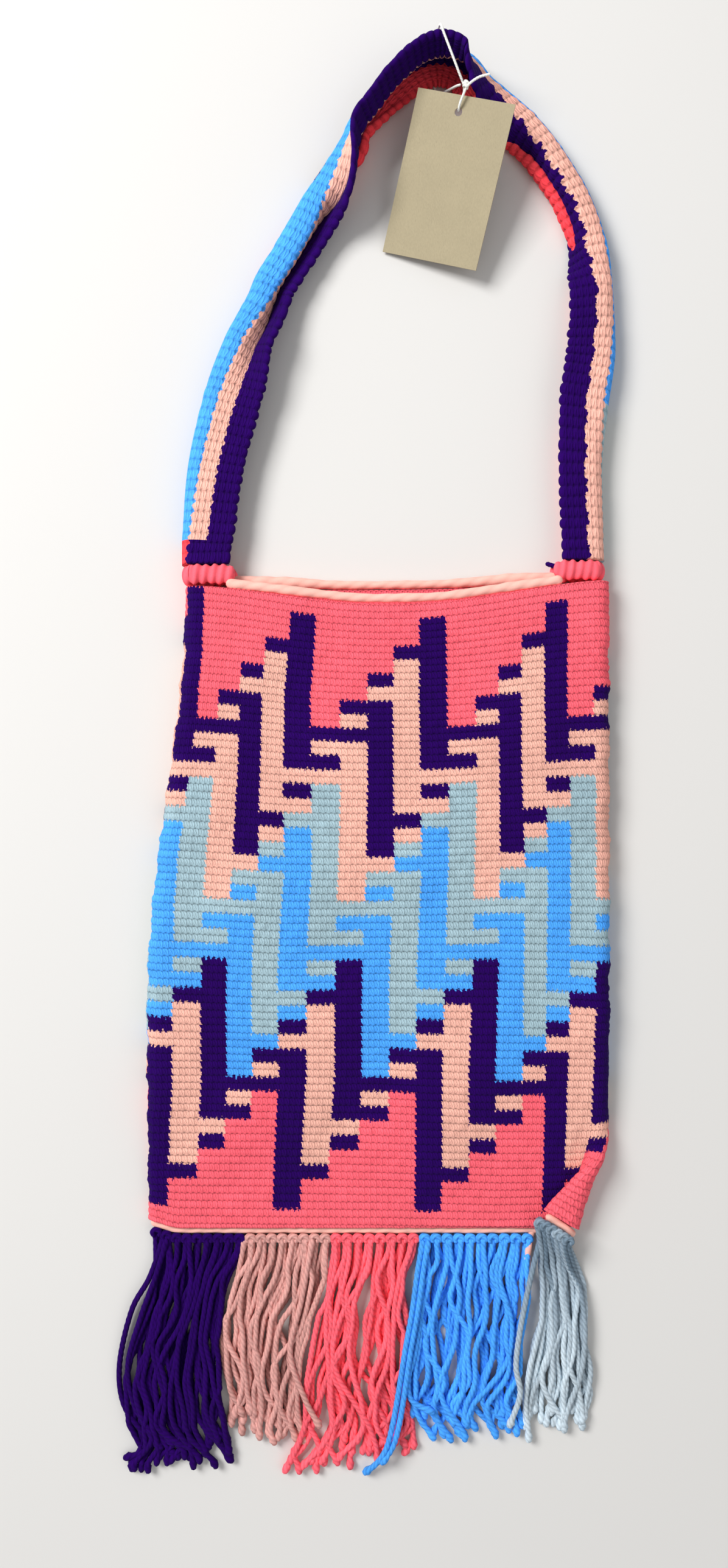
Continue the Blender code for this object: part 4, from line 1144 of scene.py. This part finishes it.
def looped_stitch_group():
    """Relief of looped stitches in a pattern space where one unit is a stitch across and a row
    up. Each stitch is a V of two leaning legs, open at the top, with a small hole at its lower
    corners. The outputs are its height, its hole and the leaned place across."""
    name = "looped stitches"
    if name in bpy.data.node_groups:
        return bpy.data.node_groups[name]
    tree, end, across, up, lean = new_group(name, ("Height", "Hole", "Across"), Across=0.0,
                                            Up=0.0, Lean=0.3)
    up = up.put("FRACT")
    across = across + (up - 0.5) * lean
    off = (across.put("FRACT") - 0.5).put("ABSOLUTE")
    leg = (off - up.times(0.26, 0.07)) / 0.17
    rounded = (1.0 - leg * leg).put("MAXIMUM", 0.0).put("SQRT")
    crest = (up * math.pi).put("SINE").put("MAXIMUM", 0.0) ** 0.5
    corner, low = (0.5 - off) / 0.24, up.put("PINGPONG", 0.5) / 0.22
    hole = (1.0 - (corner * corner + low * low)).put("MAXIMUM", 0.0)
    feed(tree, end.inputs["Height"], crest * rounded.times(0.65, 0.35))
    feed(tree, end.inputs["Hole"], hole)
    feed(tree, end.inputs["Across"], across)
    return tree


def twisted_ply_group():
    """Relief of a twisted yarn whose UV map holds the strand's number and share round it across,
    and its turns along: the height of the plies and a shade of its own for each strand."""
    name = "twisted plies"
    if name in bpy.data.node_groups:
        return bpy.data.node_groups[name]
    tree, end, across, along, plies = new_group(name, ("Height", "Shade"), Across=0.0, Along=0.0,
                                                Plies=3.0)
    share = (across.put("FRACT") - STRAND_MARGIN) / (1 - 2 * STRAND_MARGIN)
    wave = ((share - along) * plies * (2 * math.pi)).put("COSINE")
    shade = put_level(tree, "ShaderNodeTexWhiteNoise", noise_dimensions="1D",
                      W=across.put("FLOOR"))
    feed(tree, end.inputs["Height"], wave.times(0.5, 0.5) ** 0.6)
    feed(tree, end.inputs["Shade"], shade)
    return tree


def new_finish(name, inputs):
    """A material with the shader's inputs set, its tree and its Principled node."""
    made = bpy.data.materials.new(name)
    made.use_nodes = True
    shader = made.node_tree.nodes["Principled BSDF"]
    for label, value in inputs.items():
        shader.inputs[label].default_value = value
    return made, made.node_tree, shader


def yarn_places(tree):
    """The pattern's place from the UV map, and its levels across and along."""
    place = put_node(tree, "ShaderNodeUVMap", uv_map="Yarn").outputs[0]
    parts = put_node(tree, "ShaderNodeSeparateXYZ", Vector=place).outputs
    return place, Level(tree, parts[0]), Level(tree, parts[1])


def finish_with(tree, shader, colour, height, reach):
    """Feed the shader a colour and a bump of the given reach in metres."""
    bump = put_level(tree, "ShaderNodeBump", Strength=1.0, Distance=reach, Height=height)
    feed(tree, shader.inputs["Base Color"], colour)
    feed(tree, shader.inputs["Normal"], bump)


def yarn_finish(name, colour, plies=3, uneven=1.0, reach=0.00022, tips=None, turns=9.0):
    """A twisted, dyed yarn: plies from the UV map, with painted shade in their grooves, and fibres.
    With a colour for the tips, each strand fades to it over a number of turns, some sooner."""
    if name in bpy.data.materials:
        return bpy.data.materials[name]
    made, tree, shader = new_finish(name, WOOL)
    across, along = yarn_places(tree)[1:]
    ply = put_group(tree, twisted_ply_group(), Across=across, Along=along, Plies=plies)
    shade = ply["Shade"] - 0.5
    # Painted shade in the plies' grooves, lighter on their tops, and a tone of each strand's own
    streak_and_painted_shade = (ply["Height"] - 0.75).times(0.30, shade * 0.22) + 0.06
    dye = (*colour, 1.0)
    if tips:
        faded = shade.times(0.5, along / turns).put("MINIMUM", 1.0).put("MAXIMUM", 0.0)
        dye = blend_colour(tree, "MIX", faded, dye, (*tips, 1.0))
    fibre = put_group(tree, dyed_fibre_group(), Colour=dye, Streak=streak_and_painted_shade, Unevenness=uneven)
    height = fibre["Height"].times(0.35, ply["Height"])
    finish_with(tree, shader, fibre["Colour"], height, reach)
    return made


def colour_steps(tree, place, colours, edges):
    """The colours in turn along a place from 0 to 1, changing sharply at the edges."""
    ramp = put_node(tree, "ShaderNodeValToRGB", Fac=place)
    steps = ramp.color_ramp
    steps.interpolation = "CONSTANT"
    steps.elements[0].position = 0.0
    steps.elements[0].color = (*colours[0], 1.0)
    steps.elements[1].position = edges[0]
    steps.elements[1].color = (*colours[1], 1.0)
    for edge, colour in zip(edges[1:], colours[2:]):
        steps.elements.new(edge).color = (*colour, 1.0)
    return ramp.outputs["Color"]


def stitched_finish(name, draw, lean, streaks):
    """Looped fabric: stitches from the UV map, a colour drawn by a function of the leaned place,
    the place, the row and a ragged noise, painted shade in the holes and valleys and a painted
    highlight on the rows' crests, and long streaks along each row."""
    made, tree, shader = new_finish(name, WOOL)
    place, across, up = yarn_places(tree)
    stitch = put_group(tree, looped_stitch_group(), Across=across, Up=up, Lean=lean)
    strewn = put_level(tree, "ShaderNodeCombineXYZ", X=across * 0.13, Y=up.put("FLOOR") * 3.7)
    fuzz = put_noise(tree, object_place(tree), 1300.0, 2.0)
    rag = fuzz.times(0.9, put_noise(tree, place, 2.3, 1.0)) - 0.95
    colour = draw(tree, stitch["Across"], across, up, rag)
    streak_and_painted_shade = (put_noise(tree, strewn, 1.0, 1.5) - 0.5) * streaks
    # Painted shade in the stitches' valleys and holes, painted highlight on their crests
    streak_and_painted_shade = (stitch["Height"] - 0.70).times(0.26, streak_and_painted_shade) + 0.10
    streak_and_painted_shade = stitch["Hole"].times(-0.22, streak_and_painted_shade)
    fibre = put_group(tree, dyed_fibre_group(), Colour=colour, Streak=streak_and_painted_shade, Unevenness=1.0)
    height = stitch["Hole"].times(-0.7, fibre["Height"].times(0.28, stitch["Height"]))
    finish_with(tree, shader, fibre["Colour"], height, STITCH_BUMP)
    return made


def stepped_pattern(colours):
    """The drawing of the body: columns of five stitches, in periods of five columns, and steps of
    two rows.

    A column with number j hangs 2 j steps below the top. From there t steps down, its band is
    j + 5 floor((t - j) / 15) + max(0, floor(mod(t - j, 15) - 10)), so that one band of each five
    is eleven steps long and the others one. Above the first band and past the last it is coral.
    At the left corner the first band starts a step higher. The small parts of 2.02, 0.17 and 0.01
    keep the edges off whole numbers, where rounding could tip them."""
    order = [colours.purple, colours.peach, colours.purple, colours.peach, colours.grey,
             colours.blue, colours.grey, colours.blue, colours.purple, colours.peach,
             colours.purple, colours.coral]
    last = len(order) - 1
    edges = [(place + 0.5) / len(order) for place in range(last)]

    def draw(tree, leaned, across, up, rag):
        moved = rag.times(0.5, leaned) - PATTERN_FIRST_STITCH
        column = (moved / COLUMN_STITCHES).put("FLOOR")
        column = (2.02 - column).put("FLOORED_MODULO", PERIOD_BANDS).put("FLOOR")
        tooth = across.put("PINGPONG", 0.5).times(0.7, rag * 0.9)
        step = ((PATTERN_TOP_ROW + 0.17 - (up + tooth)) / STEP_ROWS).put("FLOOR")
        t = step - column * COLUMN_DROP
        late = t - column + 0.01
        long = (late / PERIOD_STEPS).put("FLOOR")
        short = late.put("FLOORED_MODULO", PERIOD_STEPS) - (LONG_BAND_STEPS - 1.0)
        short = short.put("FLOOR").put("MAXIMUM", 0.0)
        corner = moved < CORNER_LAST_STITCH - PATTERN_FIRST_STITCH
        above = (t + corner) < -0.5
        band = above.times(99.0, long.times(PERIOD_BANDS, column) + short)
        return colour_steps(tree, band.put("MINIMUM", last) / len(order), order, edges)

    return draw


def five_stripes(colours, rows):
    """The drawing of the band: coral, grey, blue and peach stripes of three stitches and a purple
    one of four, with edges that step in and out on alternate rows. Over the last rows blue turns
    to grey, over the first ones blue to coral and peach to purple, before the crest grey to blue
    and over it grey to purple, partly the band's own colour and partly painted shade standing in
    for the deep shade of its inner gap. Past a given row the purple stripe has notches."""
    coral, grey, blue = colours.band_red, colours.grey, colours.blue
    peach, purple = colours.peach, colours.purple
    edges = [STRIPE_WIDTH * stripe / STRAP_WIDTH for stripe in range(1, 5)]

    def draw(tree, leaned, across, up, rag):
        tooth = up.put("PINGPONG", 0.5) - 0.25
        moved = rag.times(0.5, tooth.times(0.9, across))
        notch = ((up / NOTCH_ROWS).put("FRACT") < NOTCH_SHARE) * (up > NOTCH_FIRST_ROW)
        notch = notch * (across > NOTCH_FIRST_STITCH)
        place = notch.times(NOTCH_DEPTH, moved) * (STRAP_STITCH / STRAP_WIDTH)
        drawn = colour_steps(tree, place, (coral, grey, blue, peach, purple), edges)
        for where, stripes in (
                (up < CREST_ROWS[0], (coral, blue, blue, peach, purple)),
                # Over the crest grey turns purple: partly the band's own colour, partly painted
                # shade of its inner gap
                ((up > CREST_ROWS[0]) * (up < CREST_ROWS[1]),
                 (coral, purple, blue, peach, purple)),
                (up > rows - GREY_ROOT_ROWS, (coral, grey, grey, peach, purple)),
                (up < PURPLE_ROOT_ROWS, (coral, grey, coral, purple, purple))):
            changed = colour_steps(tree, place, stripes, edges)
            drawn = blend_colour(tree, "MIX", where, drawn, changed)
        return drawn

    return draw


def card_finish(colour):
    """Kraft board: a warm grey brown with short darker and paler fibres and a fine tooth."""
    made, tree, shader = new_finish("kraft board", BOARD)
    place = object_place(tree)
    turned = put_level(tree, "ShaderNodeMapping", Vector=place, Rotation=(0.0, 0.0, 0.24),
                       Scale=(1.0, 0.22, 1.0))
    fibre = put_noise(tree, turned, 2400.0, 3.0)
    cloud = put_noise(tree, place, 60.0, 3.0)
    speck = put_level(tree, "ShaderNodeTexVoronoi", Vector=turned, Scale=900.0) < 0.12
    level = (cloud - 0.5).times(0.14, (fibre - 0.5).times(0.30, 1.0))
    shaded = shade_colour(tree, (*colour, 1.0), speck.times(-0.14, level))
    finish_with(tree, shader, shaded, fibre, BOARD_BUMP)
    return made


# Operators


class YARNBAG_OT_stage(bpy.types.Operator):
    """Place the camera above the bag, the lamps and the pale floor."""

    bl_idname = "yarnbag.stage"
    bl_label = "Stage and camera"

    def execute(self, context):
        scene = context.scene
        lens = bpy.data.cameras.new("overhead camera")
        lens.sensor_width = CAMERA_SENSOR
        lens.lens = CAMERA_LENS
        lens.clip_start = 0.01
        camera = bpy.data.objects.new("overhead_camera", lens)
        camera.location = CAMERA_PLACE
        scene.collection.objects.link(camera)
        scene.camera = camera
        scene.view_settings.view_transform = "Standard"
        world = bpy.data.worlds.new("studio")
        world.use_nodes = True
        sky = world.node_tree.nodes["Background"]
        sky.inputs["Color"].default_value = SKY_COLOUR
        sky.inputs["Strength"].default_value = SKY_STRENGTH
        scene.world = world
        for name, place, power, wide in LAMPS:
            lamp = bpy.data.lights.new(name, "AREA")
            lamp.energy = power
            lamp.size = wide
            lit = bpy.data.objects.new(name, lamp)
            lit.location = place
            aim = Vector(LAMP_AIM) - Vector(place)
            lit.rotation_euler = aim.to_track_quat("-Z", "Y").to_euler()
            scene.collection.objects.link(lit)
        finish = new_finish("pale floor", PALE_FLOOR)[0]
        points = FLOOR_HALF * np.array([[(-1, -1, 0), (1, -1, 0)], [(-1, 1, 0), (1, 1, 0)]])
        block = grid_block(points[None], (0.0, 1.0), np.array([[0.0], [1.0]])[None], wrap=False,
                           caps=False)
        floor = put_mesh("floor", [block], finish)
        floor.location.z = -FLOOR_DROP
        return {"FINISHED"}


class YARNBAG_OT_tag(bpy.types.Operator):
    """Tie the kraft card to the band with its cotton string."""

    bl_idname = "yarnbag.tag"
    bl_label = "Tag and string"

    def execute(self, context):
        colours = context.scene.bag_colours
        route = spread(STRING_ROUTE, 54)
        path = spread(STRING_ROUTE, 200)
        finish = yarn_finish("cotton string", colours.cotton, plies=2, uneven=0.35, reach=0.0001)
        block = yarn_block(path[None], STRING_RADIUS, STRING_TURN, sides=10, plies=2, lobe=0.07)
        string = seat(put_mesh("tag_string_twist", [block], finish), "cotton_string",
                      "tag_string")
        block = yarn_block(string_knot()[None], STRING_RADIUS * 0.95, STRING_TURN, sides=8,
                           plies=2, lobe=0.07)
        tied = seat(put_mesh("tag_string_knot", [block], finish), "cotton_string")
        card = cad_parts["tag_card"]
        board = card_finish(colours.kraft)
        for place in card.material_slots:
            place.material = board
        return {"FINISHED"}


class YARNBAG_OT_body(bpy.types.Operator):
    """Loop the body, with its stepped pattern and its folded corner."""

    bl_idname = "yarnbag.body"
    bl_label = "Looped body"

    def execute(self, context):
        finish = stitched_finish("looped yarn", stepped_pattern(context.scene.bag_colours),
                                 0.45, 0.22)
        body = put_mesh("bag_body_looped", [body_block(context.scene.bag_sizes)], finish)
        seat(body, "looped_yarn", "bag_body")
        return {"FINISHED"}


class YARNBAG_OT_edging(bpy.types.Operator):
    """Run the pale edging yarns along the mouth and the base."""

    bl_idname = "yarnbag.edging"
    bl_label = "Edgings"

    def execute(self, context):
        colours = context.scene.bag_colours
        finish = yarn_finish("pale edging yarn", colours.pale_edge, plies=2, uneven=0.4,
                             reach=0.0001)
        for name, path in edging_paths().items():
            at_mouth = name.startswith("mouth")
            radius = {"base_edging": BASE_EDGING_RADIUS,
                      "edging_tail": EDGING_TAIL_RADIUS}.get(name, MOUTH_EDGING_RADIUS)
            uneven = thick_and_thin(len(path), (0.04, 37.0, 0.6), (0.03, 83.0, 0.0))
            middle, ends = VISIBLE_EDGING.get(name, (1.0, 1.0))
            off = np.abs(np.linspace(-1.0, 1.0, len(path)))
            fuller = middle + (ends - middle) * smooth((off - 0.25) / 0.55)
            path = path + ((fuller - 1.0) * radius)[:, None] * (0.0, float(at_mouth), 1.0)
            block = yarn_block(path[None], radius * uneven * fuller, EDGING_TURN, sides=14,
                               plies=2, lobe=0.03)
            slot = "pale_edging_yarn" if at_mouth else "pale_base_yarn"
            seat(put_mesh(name + "_yarn", [block], finish), slot, name)
        return {"FINISHED"}


class YARNBAG_OT_band(bpy.types.Operator):
    """Loop the striped shoulder band along its route."""

    bl_idname = "yarnbag.band"
    bl_label = "Shoulder band"

    def execute(self, context):
        block, length, rows = band_block(context.scene.bag_sizes)
        finish = stitched_finish("striped band yarn",
                                 five_stripes(context.scene.bag_colours, rows), 0.0, 0.16)
        band = seat(put_mesh("strap_looped", [block], finish), "band_yarn", "strap")
        return {"FINISHED"}


class YARNBAG_OT_lashing(bpy.types.Operator):
    """Whip the band's ends to the mouth with coral yarn, and leave one purple yarn end."""

    bl_idname = "yarnbag.lashing"
    bl_label = "Lashings"

    def execute(self, context):
        colours = context.scene.bag_colours
        finish = yarn_finish("coral lashing yarn", colours.coral, plies=1, uneven=0.8)
        sides = (("left", STRAP_LEFT_X, -1.0, JOINT_REACH_LEFT, MOUTH_RISE_LEFT),
                 ("right", STRAP_RIGHT_X, 1.0, JOINT_REACH_RIGHT, MOUTH_TILT))
        for label, outer_x, sign, reach, tilt in sides:
            path = lashing_path(outer_x, sign, reach, tilt)
            uneven = thick_and_thin(len(path), (0.05, 29.0, 1.0), (0.03, 61.0, 0.0))
            vertices, faces = yarn_block(path[None], JOINT_RADIUS * 0.97 * uneven, LASHING_TURN,
                                         sides=20, plies=1, lobe=0.11)
            rise = (LASHING_HEIGHT - 1.0) * JOINT_RADIUS + LASHING_ROOM / 2
            vertices[:, 1] += rise + (LASHING_HEIGHT - 1.0) * (vertices[:, 1] - path[0, 1])
            seat(put_mesh("strap_joint_%s_yarn" % label, [(vertices, faces)], finish),
                 "coral_joint_yarn", "strap_joint_" + label)
        y = BASE_Y + BODY_LENGTH + MOUTH_TILT + 2 * JOINT_RADIUS + 0.0018
        points = ((0.0997, y, 0.0087), (0.0965, y + 0.0004, 0.0087), (0.0932, y + 0.0010, 0.0084),
                  (0.0900, y + 0.0022, 0.0074))
        block = yarn_block(spread(points, 12)[None], YARN_TAIL_RADIUS, YARN_TAIL_TURN)
        purple = yarn_finish("purple yarn", colours.purple)
        seat(put_mesh("yarn_tail_twist", [block], purple), "purple_yarn_end", "yarn_tail")
        return {"FINISHED"}


class YARNBAG_OT_fringe(bpy.types.Operator):
    """Hang the five colours of the fringe from the base."""

    bl_idname = "yarnbag.fringe"
    bl_label = "Fringe"

    def execute(self, context):
        size, colours = context.scene.bag_sizes, context.scene.bag_colours
        below = 2 * SEAT_GAP + 2 * BASE_EDGING_RADIUS + HEADER_RADIUS
        for seed, group in enumerate(FRINGE_GROUPS, FRINGE_SEED):
            name, colour, first_x, last_x, knots, count, tip_left, tip_right, edges = group
            if name == "fringe_grey":
                line = fold(base_line(first_x, last_x, 6, below + 2 * FOLD_CLEARANCE))
                line = line + np.array(GREY_TOP_SHIFT)
            else:
                line = base_line(first_x, last_x, 8, below)
                line[:, 2] = HEADER_RADIUS + HEADER_LIFT
            tops = spread(line, knots)
            paths = strand_paths(tops, count, tip_left, tip_right, edges, size, seed)
            blocks = [yarn_block(knot_arches(tops), size.strand_radius * 0.92, size.strand_turn,
                                 sides=8, first=200)]
            lone = [spread(points, STRAND_POINTS) for owner, points in LONE_STRANDS
                    if owner == name]
            paths = np.concatenate([paths, np.array(lone)]) if lone else paths
            radii = strand_radii(paths, size.strand_radius)
            paths[..., 2] = np.maximum(paths[..., 2], 1.10 * radii)
            blocks.append(yarn_block(paths, radii, size.strand_turn))
            finish = yarn_finish(colour.replace("_", " ") + " yarn", getattr(colours, colour),
                                 tips=colours.silver if colour == "slate" else None)
            seat(put_mesh(name + "_strands", blocks, finish), name + "_yarn", name)
        return {"FINISHED"}


class YARNBAG_PT_panel(bpy.types.Panel):
    """Lists the bag's pieces, their sizes and their colours."""

    bl_idname = "YARNBAG_PT_panel"
    bl_label = "Looped Yarn Bag"
    bl_space_type = "VIEW_3D"
    bl_region_type = "UI"
    bl_category = "Yarn Bag"

    def draw(self, context):
        for operator in OPERATORS:
            self.layout.operator(operator.bl_idname)
        for holder, group in ((context.scene.bag_sizes, BagSizes),
                              (context.scene.bag_colours, BagColours)):
            box = self.layout.box()
            for name in group.__annotations__:
                box.prop(holder, name)


# In the order in which they run
OPERATORS = (YARNBAG_OT_stage, YARNBAG_OT_tag, YARNBAG_OT_body, YARNBAG_OT_edging,
             YARNBAG_OT_band, YARNBAG_OT_lashing, YARNBAG_OT_fringe)
CLASSES = (BagSizes, BagColours, *OPERATORS, YARNBAG_PT_panel)


def register():
    """Register the classes and hang the settings on the scene."""
    for item in CLASSES:
        bpy.utils.register_class(item)
    bpy.types.Scene.bag_sizes = bpy.props.PointerProperty(type=BagSizes)
    bpy.types.Scene.bag_colours = bpy.props.PointerProperty(type=BagColours)


def unregister():
    """Take the settings off the scene and unregister the classes."""
    del bpy.types.Scene.bag_sizes
    del bpy.types.Scene.bag_colours
    for item in reversed(CLASSES):
        bpy.utils.unregister_class(item)


def main():
    """Build every piece in turn."""
    register()
    for operator in OPERATORS:
        group, name = operator.bl_idname.split(".")
        getattr(getattr(bpy.ops, group), name)()


if __name__ == "__main__":
    main()
